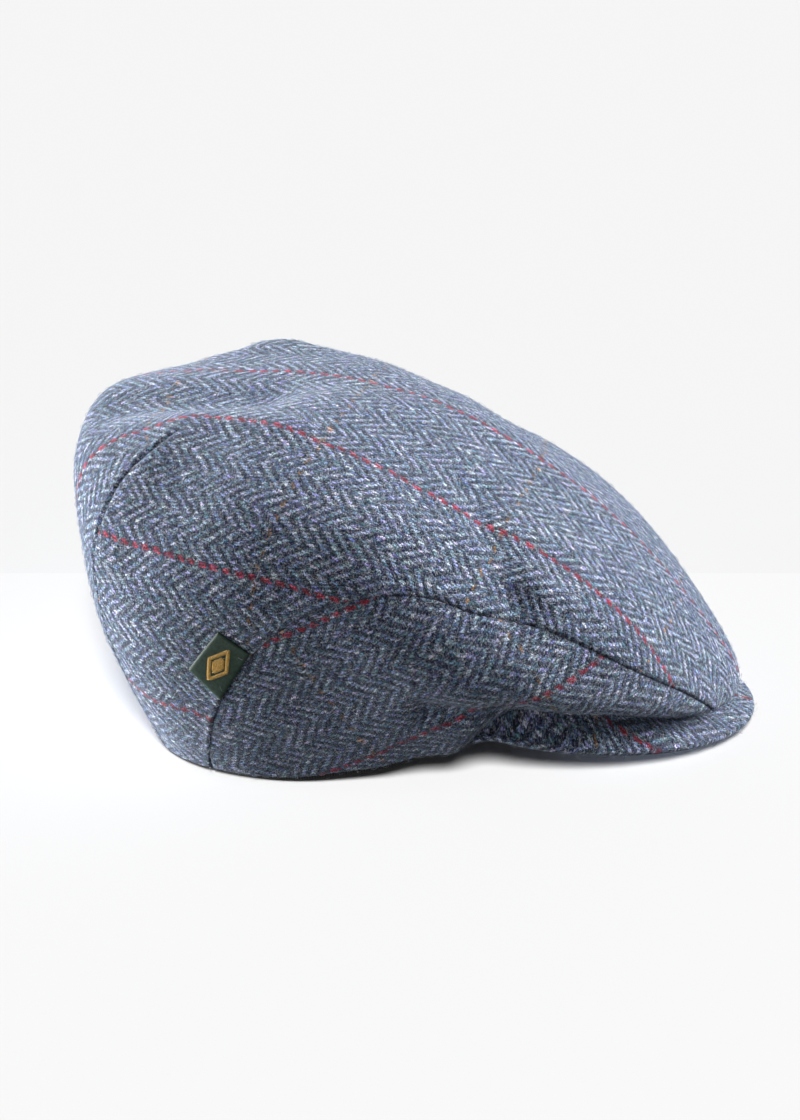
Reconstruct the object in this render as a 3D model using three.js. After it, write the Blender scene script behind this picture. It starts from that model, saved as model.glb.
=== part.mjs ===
// Flat cap of herringbone tweed, lying on a surface with its peak forward and its head opening down.
// Millimetres: +X towards the peak, +Y to the wearer's left, +Z up. The origin is on the surface that the
// cap lies on, below the middle of its length.
import * as THREE from "three";

// Cloth, seams and small pieces
const CLOTH = 2; // tweed with its backing
const GAP = 0.3; // clearance between pieces that are sewn together
const BAND_HEIGHT = 32;
const BAND_THICKNESS = 1.3;
const BAND_LEAN = 4; // how far the band's upper edge follows the crown outwards at the back
const BAND_CLEARANCE = 0.45; // between the band and the cloth round it
const BAND_SHOWS = 1.2; // how far the band shows below the hem where the hem rises from the surface
const PEAK_THICKNESS = 3.2; // board with tweed on both sides
const LABEL_THICKNESS = 0.9;
const AXIS_FROM_MIDDLE = 2.7; // the sections' axis stands this far behind the middle of the cap's length
const FLOOR_CLEARANCE = 0.5; // the back hem stays just above the surface; the band carries it

// Half sections of the cap by angle from the front: radius and height of the hem, of the widest belly,
// of the shoulder where the side turns into the top, and of the top itself.
const SECTIONS = [
  { angle: 0, hem: [95, 19], belly: [131, 15], shoulder: [114, 46], top: [71, 92] },
  { angle: 30, hem: [91, 27], belly: [117, 26], shoulder: [108, 60], top: [63, 99] },
  { angle: 60, hem: [82, 34], belly: [105, 43], shoulder: [91, 84], top: [59, 110] },
  { angle: 90, hem: [79, 9.8], belly: [101, 62], shoulder: [91, 101], top: [49, 124] },
  { angle: 120, hem: [92, 2.6], belly: [111, 66], shoulder: [102, 113], top: [59, 132] },
  { angle: 150, hem: [107, 0.7], belly: [132, 76], shoulder: [119, 116], top: [68, 136] },
  { angle: 180, hem: [103, 0.5], belly: [130, 88], shoulder: [129, 125], top: [71, 135] },
];
const HEM_DIP = { angle: 72, width: 7, depth: 8 }; // the hem hangs lower beside each end of the peak
const CROWN_TOP = 132; // height of the crown over the origin
const CROWN_SLOPE = -0.24; // the crown falls towards the front there
const KNOT_POWER = 0.75; // spacing of the sections' points along their curve

// The seam between the crown and a side panel: level above the hem (0) towards the top (1) by angle.
const PANEL_SEAM = [
  { angle: 9, level: 0 },
  { angle: 15, level: 0.13 },
  { angle: 22, level: 0.208 },
  { angle: 35, level: 0.262 },
  { angle: 50, level: 0.319 },
  { angle: 65, level: 0.368 },
  { angle: 80, level: 0.411 },
  { angle: 95, level: 0.404 },
  { angle: 105, level: 0.364 },
  { angle: 115, level: 0.296 },
  { angle: 125, level: 0.174 },
  { angle: 135, level: 0 },
];
const SEAM_GAP_ANGLE = 0.15; // the seam's clearance, in degrees and in level
const SEAM_GAP_LEVEL = 0.0015;

// Folds, dents and ridges of the soft cloth: a line on the cap, how wide each is and how far it stands out.
const FOLDS = [
  { name: "hump on the left of the top", from: [-64, 50, 132], to: [-58, 51, 133], width: 12, height: 5 },
  { name: "hollow along the back", from: [-112, 0, 133], to: [-62, 0, 135], width: 17, height: -5 },
  { name: "ridge from the right dart", from: [-84, -38, 133], to: [-42, -51, 133], width: 9, height: 2.4 },
  { name: "ridge from the left dart", from: [-84, 38, 133], to: [-42, 51, 133], width: 9, height: 1.2 },
  { name: "flat of the right side", from: [-75, -78, 114], to: [-35, -86, 111], width: 22, height: -2.5 },
  { name: "flat of the left side", from: [-75, 78, 114], to: [-35, 86, 111], width: 22, height: -2.5 },
  { name: "edge along the right dart", from: [-84, -48, 130], to: [-110, -70, 88], width: 9, height: 1.6 },
  { name: "edge along the left dart", from: [-84, 48, 130], to: [-110, 70, 88], width: 9, height: 1.6 },
  { name: "dimple on the right", from: [25, -53, 112], to: [32, -49, 109], width: 7, height: -2 },
  { name: "slack fold on the right", from: [34, -60, 105], to: [50, -81, 78], width: 8, height: -3 },
  { name: "slack fold on the left", from: [30, 50, 112], to: [38, 82, 92], width: 12, height: -2 },
  { name: "fullness on the right", from: [1, -84, 107], to: [12, -78, 105], width: 14, height: 1.2 },
  { name: "roll over the right seam", from: [46, -77, 86], to: [89, -65, 55], width: 9, height: 1.8 },
  { name: "roll over the left seam", from: [46, 77, 86], to: [89, 65, 55], width: 9, height: 1.2 },
  { name: "right tuck over the peak's end", from: [12, -97, 40], to: [44, -88, 36], width: 6, height: -5 },
  { name: "left tuck over the peak's end", from: [12, 97, 40], to: [44, 88, 36], width: 6, height: -5 },
];

// The peak in plan: half an ellipse on the line between its two ends, sinking from the ends to the tip.
const PEAK_BASE_X = 20;
const PEAK_REACH = 118;
const PEAK_HALF_WIDTH = 76;
const PEAK_END_HEIGHT = 17.8; // underside at the ends
const PEAK_TIP_HEIGHT = 3.2; // underside at the tip
const PEAK_SINK_POWER = 1.22;
const PEAK_CAMBER = 0.5; // how far its middle stands above a straight slope; it fades towards the ends
const PEAK_ROOT_ANGLE = 67; // the root runs along the front hem between these angles
const PEAK_EDGE_ANGLE = 85;
const PEAK_ROOT_SETBACK = 1.9; // the root lies this far inside the hem's outer face
const PEAK_ROOT_DROP = 0.6; // and this far below the hem

// The label's corners on the right of the crown; its lower front edge is caught in the panel seam.
const LABEL_CORNERS = {
  seamLow: { angle: -125.4, level: 0.172 },
  seamHigh: { angle: -118.2, level: 0.272 },
  freeLow: { angle: -129.7, level: 0.225 },
  freeHigh: { angle: -123.5, level: 0.304 },
};

// How finely each piece is divided
const CROWN_GRID = { columns: 80, rows: 20 };
const PANEL_ROWS = 6;
const PEAK_GRID = { columns: 40, rows: 6 };
const BAND_GRID = { columns: 64, rows: 2 };
const LABEL_GRID = { columns: 4, rows: 5 };

const PROBE_STEP = 0.004; // step in angle and level between the points that give an outward direction

const radians = THREE.MathUtils.degToRad;
const degrees = THREE.MathUtils.radToDeg;
const mix = THREE.MathUtils.lerp;

// A smooth curve round the cap through one place of the sections, the same on both sides: its radius
// (axis 0) or its height (axis 1).
function cosineSeries(place, axis) {
  const values = SECTIONS.map((row) => row[place][axis]);
  const last = values.length - 1;
  const endWeight = (i) => (i === 0 || i === last ? 0.5 : 1);
  const amplitudes = values.map((_, k) => {
    const sum = values.reduce((s, v, i) => s + endWeight(i) * v * Math.cos((Math.PI * i * k) / last), 0);
    return (2 / last) * endWeight(k) * sum;
  });
  return (theta) => amplitudes.reduce((s, a, k) => s + a * Math.cos(k * theta), 0);
}

const hemRadius = cosineSeries("hem", 0);
const hemSeries = cosineSeries("hem", 1);
function hemHeight(theta) {
  const angle = degrees(Math.abs(Math.atan2(Math.sin(theta), Math.cos(theta))));
  const dip = HEM_DIP.depth * Math.exp(-(((angle - HEM_DIP.angle) / HEM_DIP.width) ** 2));
  return Math.max(hemSeries(theta) - dip, FLOOR_CLEARANCE);
}
const HALF_SECTION = [
  [hemRadius, hemHeight],
  [cosineSeries("belly", 0), cosineSeries("belly", 1)],
  [cosineSeries("shoulder", 0), cosineSeries("shoulder", 1)],
  [cosineSeries("top", 0), cosineSeries("top", 1)],
];

// Bends of a cubic spline (its second derivatives at the knots): free at the start, and at the end either
// free or leaving with a given slope.
function splineBends(knots, values, endSlope = null) {
  const last = knots.length - 1;
  const bends = new Array(last + 1).fill(0);
  const upper = new Array(last + 1).fill(0);
  for (let i = 1; i < last; i++) {
    const before = knots[i] - knots[i - 1];
    const after = knots[i + 1] - knots[i];
    const turn = (values[i + 1] - values[i]) / after - (values[i] - values[i - 1]) / before;
    const pivot = 2 * (before + after) - before * upper[i - 1];
    upper[i] = after / pivot;
    bends[i] = (6 * turn - before * bends[i - 1]) / pivot;
  }
  if (endSlope !== null) {
    const before = knots[last] - knots[last - 1];
    const turn = endSlope - (values[last] - values[last - 1]) / before;
    bends[last] = (6 * turn - before * bends[last - 1]) / (before * (2 - upper[last - 1]));
  }
  for (let i = last - 1; i > 0; i--) bends[i] -= upper[i] * bends[i + 1];
  return bends;
}

function splineAt(knots, values, bends, at) {
  let k = 0;
  while (k < knots.length - 2 && at > knots[k + 1]) k++;
  const width = knots[k + 1] - knots[k];
  const b = (at - knots[k]) / width;
  const a = 1 - b;
  const bend = ((a ** 3 - a) * bends[k] + (b ** 3 - b) * bends[k + 1]) * (width ** 2 / 6);
  return a * values[k] + b * values[k + 1] + bend;
}

// The section curve from the hem at an angle up to the top, where all sections share one slope.
const sectionCache = new Map();
function sectionCurve(theta) {
  if (sectionCache.has(theta)) return sectionCache.get(theta);
  const radii = [...HALF_SECTION.map(([radius]) => radius(theta)), 0];
  const heights = [...HALF_SECTION.map(([, height]) => height(theta)), CROWN_TOP];
  const knots = [0];
  let step = 0;
  for (let i = 1; i < radii.length; i++) {
    step = Math.hypot(radii[i] - radii[i - 1], heights[i] - heights[i - 1]);
    knots.push(knots[i - 1] + step ** KNOT_POWER);
  }
  const top = new THREE.Vector2(-1, -CROWN_SLOPE * Math.cos(theta)).setLength(step ** (1 - KNOT_POWER));
  const curve = {
    knots,
    radii,
    heights,
    radiusBends: splineBends(knots, radii, top.x),
    heightBends: splineBends(knots, heights, top.y),
  };
  sectionCache.set(theta, curve);
  return curve;
}

// The cap's smooth outside: level 0 is the hem and level 1 the top of the crown.
function smoothPoint(theta, level) {
  const curve = sectionCurve(theta);
  const at = level * curve.knots[curve.knots.length - 1];
  const radius = splineAt(curve.knots, curve.radii, curve.radiusBends, at);
  const height = splineAt(curve.knots, curve.heights, curve.heightBends, at);
  return new THREE.Vector3(radius * Math.cos(theta), radius * Math.sin(theta), height);
}

// The outward direction of a surface given as a function of angle and level.
function outwardNormal(surface, theta, level) {
  const d = PROBE_STEP;
  const low = Math.max(level - d, 0);
  const high = Math.min(level + d, 1 - d);
  const along = surface(theta + d, Math.min(level, high)).sub(surface(theta - d, Math.min(level, high)));
  const up = surface(theta, high).sub(surface(theta, Math.min(low, high - d)));
  return along.cross(up).normalize();
}

function foldOffset(point) {
  const nearest = new THREE.Vector3();
  return FOLDS.reduce((sum, fold) => {
    const line = new THREE.Line3(new THREE.Vector3(...fold.from), new THREE.Vector3(...fold.to));
    line.closestPointToPoint(point, true, nearest);
    return sum + fold.height * Math.exp(-((nearest.distanceTo(point) / fold.width) ** 2));
  }, 0);
}

// The outside with its folds.
function outsidePoint(theta, level) {
  const point = smoothPoint(theta, level);
  return point.addScaledVector(outwardNormal(smoothPoint, theta, level), foldOffset(point));
}

// A point a distance outside (or, when negative, inside) the cap's folded outside.
function offsetPoint(theta, level, distance) {
  const normal = outwardNormal(outsidePoint, theta, level);
  return outsidePoint(theta, level).addScaledVector(normal, distance);
}

// Level of the panel seam at an angle: a smooth curve through the seam's rows, 0 where there is no panel.
const seamAngles = PANEL_SEAM.map((row) => row.angle);
const seamLevels = PANEL_SEAM.map((row) => row.level);
const seamBends = splineBends(seamAngles, seamLevels);
const PANEL_FRONT = seamAngles[0];
const PANEL_BACK = seamAngles[seamAngles.length - 1];
function seamLevel(theta) {
  const angle = Math.abs(degrees(Math.atan2(Math.sin(theta), Math.cos(theta))));
  if (angle <= PANEL_FRONT || angle >= PANEL_BACK) return 0;
  return Math.max(splineAt(seamAngles, seamLevels, seamBends, angle), 0);
}

// A closed solid between two faces of a grid: pointAt(u, v, side) with u and v from 0 to 1, side 0 for the
// face that u and v turn outwards and 1 for the other. A round grid closes on itself in u; a pole closes it
// at v = 1.
function gridSolid({ columns, rows }, pointAt, { round = false, pole = false } = {}) {
  const points = [];
  const numbers = new Map();
  const vertex = (i, j, side) => {
    const column = pole && j === rows ? 0 : round ? i % columns : i;
    const key = `${column},${j},${side}`;
    if (!numbers.has(key)) {
      numbers.set(key, points.length);
      points.push(pointAt(column / columns, j / rows, side));
    }
    return numbers.get(key);
  };
  const index = [];
  const quad = (a, b, c, d) => {
    const alongFirst = points[a].distanceTo(points[c]) <= points[b].distanceTo(points[d]);
    const halves = alongFirst ? [[a, b, c], [a, c, d]] : [[a, b, d], [b, c, d]];
    for (const corners of halves) {
      if (new Set(corners).size === 3) index.push(...corners);
    }
  };
  for (let i = 0; i < columns; i++) {
    for (let j = 0; j < rows; j++) {
      quad(vertex(i, j, 0), vertex(i + 1, j, 0), vertex(i + 1, j + 1, 0), vertex(i, j + 1, 0));
      quad(vertex(i, j, 1), vertex(i, j + 1, 1), vertex(i + 1, j + 1, 1), vertex(i + 1, j, 1));
    }
    quad(vertex(i, 0, 0), vertex(i, 0, 1), vertex(i + 1, 0, 1), vertex(i + 1, 0, 0));
    if (!pole) quad(vertex(i, rows, 0), vertex(i + 1, rows, 0), vertex(i + 1, rows, 1), vertex(i, rows, 1));
  }
  for (let j = 0; j < rows && !round; j++) {
    quad(vertex(0, j, 0), vertex(0, j + 1, 0), vertex(0, j + 1, 1), vertex(0, j, 1));
    quad(vertex(columns, j, 0), vertex(columns, j, 1), vertex(columns, j + 1, 1), vertex(columns, j + 1, 0));
  }
  const geometry = new THREE.BufferGeometry().setFromPoints(points);
  geometry.setIndex(index);
  geometry.computeVertexNormals();
  return geometry;
}

// The crown: one cloth over the top, the back and the upper sides, down to the panel seams and the back hem.
function crownGeometry() {
  return gridSolid(CROWN_GRID, (u, v, side) => {
    const theta = u * 2 * Math.PI;
    return offsetPoint(theta, mix(seamLevel(theta), 1, v), -side * CLOTH);
  }, { round: true, pole: true });
}

// A side panel, from its seam with the crown down to the hem; side is -1 for the wearer's right, 1 for the
// left. Its columns stand on the crown's, so that both edges of the seam run side by side.
function panelGeometry(side) {
  const columnAngle = 360 / CROWN_GRID.columns;
  const low = side < 0 ? -PANEL_BACK : PANEL_FRONT;
  const high = side < 0 ? -PANEL_FRONT : PANEL_BACK;
  const grid = { columns: Math.round((high - low) / columnAngle), rows: PANEL_ROWS };
  return gridSolid(grid, (u, v, face) => {
    const margin = 2 * SEAM_GAP_ANGLE;
    const angle = THREE.MathUtils.clamp(mix(low, high, u), low + margin, high - margin);
    const beside = [-SEAM_GAP_ANGLE, 0, SEAM_GAP_ANGLE].map((gap) => seamLevel(radians(angle + gap)));
    return offsetPoint(radians(angle), v * (Math.min(...beside) - SEAM_GAP_LEVEL), -face * CLOTH);
  });
}

// The peak: a curved board from the front hem out to its edge, following the hem at its root.
function peakGeometry() {
  return gridSolid(PEAK_GRID, (u, v, side) => {
    const across = 2 * u - 1;
    const rootTheta = radians(across * PEAK_ROOT_ANGLE);
    const edgeTheta = radians(across * PEAK_EDGE_ANGLE);
    const rootRadius = hemRadius(rootTheta) - PEAK_ROOT_SETBACK;
    const sink = (1 - Math.cos(edgeTheta)) ** PEAK_SINK_POWER;
    const edge = new THREE.Vector3(
      PEAK_BASE_X + PEAK_REACH * Math.cos(edgeTheta),
      PEAK_HALF_WIDTH * Math.sin(edgeTheta),
      mix(PEAK_TIP_HEIGHT, PEAK_END_HEIGHT, sink) + PEAK_THICKNESS,
    );
    const root = new THREE.Vector3(
      rootRadius * Math.cos(rootTheta),
      rootRadius * Math.sin(rootTheta),
      hemHeight(rootTheta) - PEAK_ROOT_DROP,
    );
    const point = edge.lerp(root, v);
    const camber = PEAK_CAMBER * Math.sqrt(Math.cos(edgeTheta));
    point.z += camber * Math.sin(Math.PI * v) - side * PEAK_THICKNESS;
    return point;
  });
}

// The sweatband inside the hem: a low wall that follows the hem. The cap lies on its lower edge at the back.
function sweatbandGeometry() {
  return gridSolid(BAND_GRID, (u, v, side) => {
    const theta = u * 2 * Math.PI;
    const lean = v * BAND_LEAN * Math.max(-Math.cos(theta), 0);
    const radius = hemRadius(theta) - CLOTH - BAND_CLEARANCE + lean - side * BAND_THICKNESS;
    const foot = Math.max(hemHeight(theta) - BAND_SHOWS, 0);
    return new THREE.Vector3(radius * Math.cos(theta), radius * Math.sin(theta), foot + v * BAND_HEIGHT);
  }, { round: true });
}

// The woven label, lying on the crown's cloth.
function labelGeometry() {
  const { seamLow, seamHigh, freeLow, freeHigh } = LABEL_CORNERS;
  return gridSolid(LABEL_GRID, (u, v, side) => {
    const lower = (key) => mix(freeLow[key], seamLow[key], u);
    const upper = (key) => mix(freeHigh[key], seamHigh[key], u);
    const bilinear = (key) => mix(lower(key), upper(key), v);
    const lift = GAP + (1 - side) * LABEL_THICKNESS;
    return offsetPoint(radians(bilinear("angle")), bilinear("level"), lift);
  });
}

function piece(name, geometry, finish) {
  const mesh = new THREE.Mesh(geometry, new THREE.MeshStandardMaterial(finish));
  mesh.name = name;
  return mesh;
}

const TWEED = { color: 0x5b6d8c, roughness: 0.95, metalness: 0 };
const TWEED_SHADED = { color: 0x4d5e7c, roughness: 0.95, metalness: 0 };
const BLACK_COTTON = { color: 0x17181b, roughness: 0.85, metalness: 0 };
const GREEN_WEAVE = { color: 0x1f3a2c, roughness: 0.8, metalness: 0 };

const sewnPieces = new THREE.Group();
sewnPieces.position.x = -AXIS_FROM_MIDDLE;
sewnPieces.add(
  piece("crown", crownGeometry(), TWEED),
  piece("side_panel_right", panelGeometry(-1), TWEED_SHADED),
  piece("side_panel_left", panelGeometry(1), TWEED_SHADED),
  piece("peak", peakGeometry(), TWEED),
  piece("sweatband", sweatbandGeometry(), BLACK_COTTON),
  piece("label_tab", labelGeometry(), GREEN_WEAVE),
);

const cap = new THREE.Group();
cap.name = "flat_cap";
cap.add(sewnPieces);

export default cap;
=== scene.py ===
# Flat cap of herringbone tweed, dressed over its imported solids. Lengths here are mm on the cap's own axis.
import math

import bpy
import numpy as np
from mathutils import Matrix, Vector


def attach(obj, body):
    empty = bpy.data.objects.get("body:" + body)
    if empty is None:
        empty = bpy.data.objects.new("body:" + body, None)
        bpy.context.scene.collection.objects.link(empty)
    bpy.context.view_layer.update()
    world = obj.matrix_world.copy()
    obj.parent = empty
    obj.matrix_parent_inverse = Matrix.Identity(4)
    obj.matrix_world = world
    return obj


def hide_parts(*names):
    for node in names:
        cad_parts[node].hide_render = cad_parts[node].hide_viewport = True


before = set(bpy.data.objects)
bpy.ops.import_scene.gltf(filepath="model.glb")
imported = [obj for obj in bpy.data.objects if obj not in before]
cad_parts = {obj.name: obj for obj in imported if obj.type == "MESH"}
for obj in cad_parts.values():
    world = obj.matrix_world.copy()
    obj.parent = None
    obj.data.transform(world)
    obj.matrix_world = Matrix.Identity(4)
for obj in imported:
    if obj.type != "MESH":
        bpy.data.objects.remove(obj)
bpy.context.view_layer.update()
print("frame loaded:", sorted(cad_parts))

# half sections from the front to the back, every 30 degrees: (radius, height)
capForm = {
    "hem": [(95, 19), (91, 27), (82, 34), (79, 9.8), (92, 2.6), (107, 0.7), (103, 0.5)],
    "belly": [(131, 15), (117, 26), (105, 43), (101, 62), (111, 66), (132, 76), (130, 88)],
    "shoulder": [(114, 46), (108, 60), (91, 84), (91, 101), (102, 113), (119, 116), (129, 125)],
    "top": [(71, 92), (63, 99), (59, 110), (49, 124), (59, 132), (68, 136), (71, 135)],
    "crownTop": 132,
    "crownSlope": -0.24,
    "knotPower": 0.75,
    "lowestHem": 0.5,
    "hemDip": (72, 7, 8),  # angle, width and depth of the lower hem beside each end of the peak
    "hemEase": [(78, 7, -2.6), (103, 12, 3.4)],  # angle, width, lift of the hem as it is turned up and sewn
    "easeLevel": 0.14,
    "axisFromMiddle": 2.7,
    "cloth": 1.9,
}
# soft folds: from, to, width, height
folds = [
    ((-64, 50, 132), (-58, 51, 133), 12, 5),  # hump on the left of the top
    ((-115, -15, 131), (-62, -13, 136), 16, -6.5),  # hollow along the back
    ((-84, -38, 133), (-42, -51, 133), 9, 2.4),  # ridge from the right dart
    ((-84, 38, 133), (-42, 51, 133), 9, 1.2),  # ridge from the left dart
    ((-75, -78, 114), (-35, -86, 111), 22, -2.5),  # flat of the right side
    ((-75, 78, 114), (-35, 86, 111), 22, -2.5),  # flat of the left side
    ((-84, -48, 130), (-110, -70, 88), 9, 1.6),  # edge along the right dart
    ((-84, 48, 130), (-110, 70, 88), 9, 1.6),  # edge along the left dart
    ((25, -53, 112), (32, -49, 109), 7, -2),  # dimple on the right
    ((31, -63, 105), (44, -84, 79), 8, -2.6),  # slack fold on the right
    ((30, 50, 112), (38, 82, 92), 12, -2),  # slack fold on the left
    ((1, -84, 107), (12, -78, 105), 14, 1.2),  # fullness on the right
    ((46, -77, 86), (89, -65, 55), 9, 1.8),  # roll over the right seam
    ((48, -76, 87), (61, -75, 76), 7, 1.2),  # start of that roll beside the slack fold
    ((46, 77, 86), (89, 65, 55), 9, 1.2),  # roll over the left seam
    ((12, -97, 40), (44, -88, 36), 6, -5),  # right tuck over the peak's end
    ((12, 97, 40), (44, 88, 36), 6, -5),  # left tuck over the peak's end
]
# seam between the crown and a side panel: angle from the front, level from the hem (0) to the top (1)
panelSeam = [
    (9, 0), (15, 0.13), (22, 0.208), (35, 0.262), (50, 0.319), (65, 0.368), (80, 0.411),
    (95, 0.404), (105, 0.364), (115, 0.296), (125, 0.174), (135, 0),
]
softWaves = {"seed": 11, "count": 36, "shortest": 15, "longest": 55, "height": 0.32}


def bell(x, width):
    return np.exp(-(x / width) ** 2)


def ramp(x, low, high):
    t = np.clip((x - low) / (high - low), 0, 1)
    return t * t * (3 - 2 * t)


def cosineRow(pairs):
    values = np.array(pairs, float)
    last = len(values) - 1
    k = np.arange(last + 1)
    ends = np.ones(last + 1)
    ends[[0, -1]] = 0.5
    return (np.cos(np.outer(k, k) * np.pi / last) * ends) @ values * (2 / last) * ends[:, None]


sectionRows = np.concatenate([cosineRow(capForm[k]) for k in ("hem", "belly", "shoulder", "top")], 1)


def sectionPoints(theta):
    waves = np.cos(theta[:, None] * np.arange(len(sectionRows)))
    points = np.zeros((len(theta), 5, 2))
    points[:, :4] = (waves @ sectionRows).reshape(-1, 4, 2)
    angle, width, depth = capForm["hemDip"]
    aside = np.degrees(np.abs(np.arctan2(np.sin(theta), np.cos(theta)))) - angle
    points[:, 0, 1] = np.maximum(points[:, 0, 1] - depth * bell(aside, width), capForm["lowestHem"])
    points[:, 4, 1] = capForm["crownTop"]
    return points


def smoothCap(theta, level):  # the cap's outside without folds
    shape = np.shape(theta)
    theta = np.ravel(theta)
    level = np.ravel(level)
    n = len(theta)
    p = sectionPoints(theta)
    chord = np.linalg.norm(np.diff(p, axis=1), axis=2)
    h = chord ** capForm["knotPower"]
    s = np.concatenate([np.zeros((n, 1)), np.cumsum(h, 1)], 1)
    end = np.stack([-np.ones(n), -capForm["crownSlope"] * np.cos(theta)], 1)
    end *= (chord[:, 3] / h[:, 3] / np.linalg.norm(end, axis=1))[:, None]
    left = np.zeros((n, 5, 5))
    right = np.zeros((n, 5, 2))
    left[:, 0, 0] = 1
    for i in (1, 2, 3):
        left[:, i, i - 1] = h[:, i - 1]
        left[:, i, i] = 2 * (h[:, i - 1] + h[:, i])
        left[:, i, i + 1] = h[:, i]
        slopes = (p[:, i:i + 2] - p[:, i - 1:i + 1]) / h[:, i - 1:i + 1, None]
        right[:, i] = 6 * (slopes[:, 1] - slopes[:, 0])
    left[:, 4, 3] = h[:, 3]
    left[:, 4, 4] = 2 * h[:, 3]
    right[:, 4] = 6 * (end - (p[:, 4] - p[:, 3]) / h[:, 3, None])
    bend = np.linalg.solve(left, right)
    at = level * s[:, 4]
    k = (at[:, None] > s[:, 1:4]).sum(1)
    i = np.arange(n)
    b = ((at - s[i, k]) / h[i, k])[:, None]
    a = 1 - b
    q = a * p[i, k] + b * p[i, k + 1]
    q = q + ((a ** 3 - a) * bend[i, k] + (b ** 3 - b) * bend[i, k + 1]) * (h[i, k] ** 2)[:, None] / 6
    return np.stack([q[:, 0] * np.cos(theta), q[:, 0] * np.sin(theta), q[:, 1]], 1).reshape(shape + (3,))


def outwards(surface, theta, level, step=0.004):
    high = np.minimum(level + step, 1 - step)
    low = np.minimum(np.maximum(level - step, 0), high - step)
    middle = np.minimum(level, high)
    round_ = surface(theta + step, middle) - surface(theta - step, middle)
    normal = np.cross(round_, surface(theta, high) - surface(theta, low))
    return normal / np.linalg.norm(normal, axis=-1, keepdims=True)


def lineDistance(points, start, stop):
    start = np.array(start, float)
    along = np.array(stop, float) - start
    t = np.clip(((points - start) @ along) / (along @ along), 0, 1)
    return np.linalg.norm(points - start - t[..., None] * along, axis=-1)


def hemEase(theta):
    turn = np.degrees(np.abs(np.arctan2(np.sin(theta), np.cos(theta))))
    return sum(lift * bell(turn - angle, width) for angle, width, lift in capForm["hemEase"])


def foldedCap(theta, level):
    theta, level = np.broadcast_arrays(np.asarray(theta, float), np.asarray(level, float))
    points = smoothCap(theta, level)
    lift = sum(h * bell(lineDistance(points, a, b), w) for a, b, w, h in folds)
    folded = points + outwards(smoothCap, theta, level) * lift[..., None]
    folded[..., 2] += hemEase(theta) * ramp(capForm["easeLevel"] - level, 0, capForm["easeLevel"])
    return folded


waveRng = np.random.default_rng(softWaves["seed"])
waveTurns = waveRng.normal(size=(softWaves["count"], 3))
waveTurns /= np.linalg.norm(waveTurns, axis=1, keepdims=True)
waveLengths = waveRng.uniform(softWaves["shortest"], softWaves["longest"], softWaves["count"])
wavePhases = waveRng.uniform(0, 2 * np.pi, softWaves["count"])


def softWave(points):  # slight unevenness of slack cloth
    ripples = np.sin(points @ (waveTurns / waveLengths[:, None]).T * 2 * np.pi + wavePhases)
    total = (ripples * waveLengths / softWaves["longest"]).sum(-1)
    return softWaves["height"] * total / math.sqrt(softWaves["count"] / 2)


seamKnots = np.array(panelSeam, float)


def naturalBends(x, y):
    h = np.diff(x)
    left = np.eye(len(x))
    right = np.zeros(len(x))
    for i in range(1, len(x) - 1):
        left[i, i - 1:i + 2] = h[i - 1], 2 * (h[i - 1] + h[i]), h[i]
        right[i] = 6 * ((y[i + 1] - y[i]) / h[i] - (y[i] - y[i - 1]) / h[i - 1])
    return np.linalg.solve(left, right)


seamBends = naturalBends(seamKnots[:, 0], seamKnots[:, 1])


def seamLevel(theta):
    x, y = seamKnots.T
    angle = np.abs(np.degrees(np.arctan2(np.sin(theta), np.cos(theta))))
    at = np.clip(angle, x[0], x[-1])
    k = np.clip(np.searchsorted(x, at, side="right") - 1, 0, len(x) - 2)
    h = x[k + 1] - x[k]
    b = (at - x[k]) / h
    a = 1 - b
    level = a * y[k] + b * y[k + 1]
    level = level + ((a ** 3 - a) * seamBends[k] + (b ** 3 - b) * seamBends[k + 1]) * h ** 2 / 6
    return np.where((angle > x[0]) & (angle < x[-1]), np.maximum(level, 0), 0)


def rowLengths(points):  # distance along each column from its first row
    steps = np.linalg.norm(np.diff(points, axis=1), axis=2)
    return np.concatenate([np.zeros((len(points), 1)), np.cumsum(steps, 1)], 1)


def gridCorners(grid):  # corners of each cell of a grid of numbers or points, anticlockwise from outside
    cells = np.stack([grid[:-1, :-1], grid[1:, :-1], grid[1:, 1:], grid[:-1, 1:]], 2)
    return cells.reshape((-1, 4) + grid.shape[2:])


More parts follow.
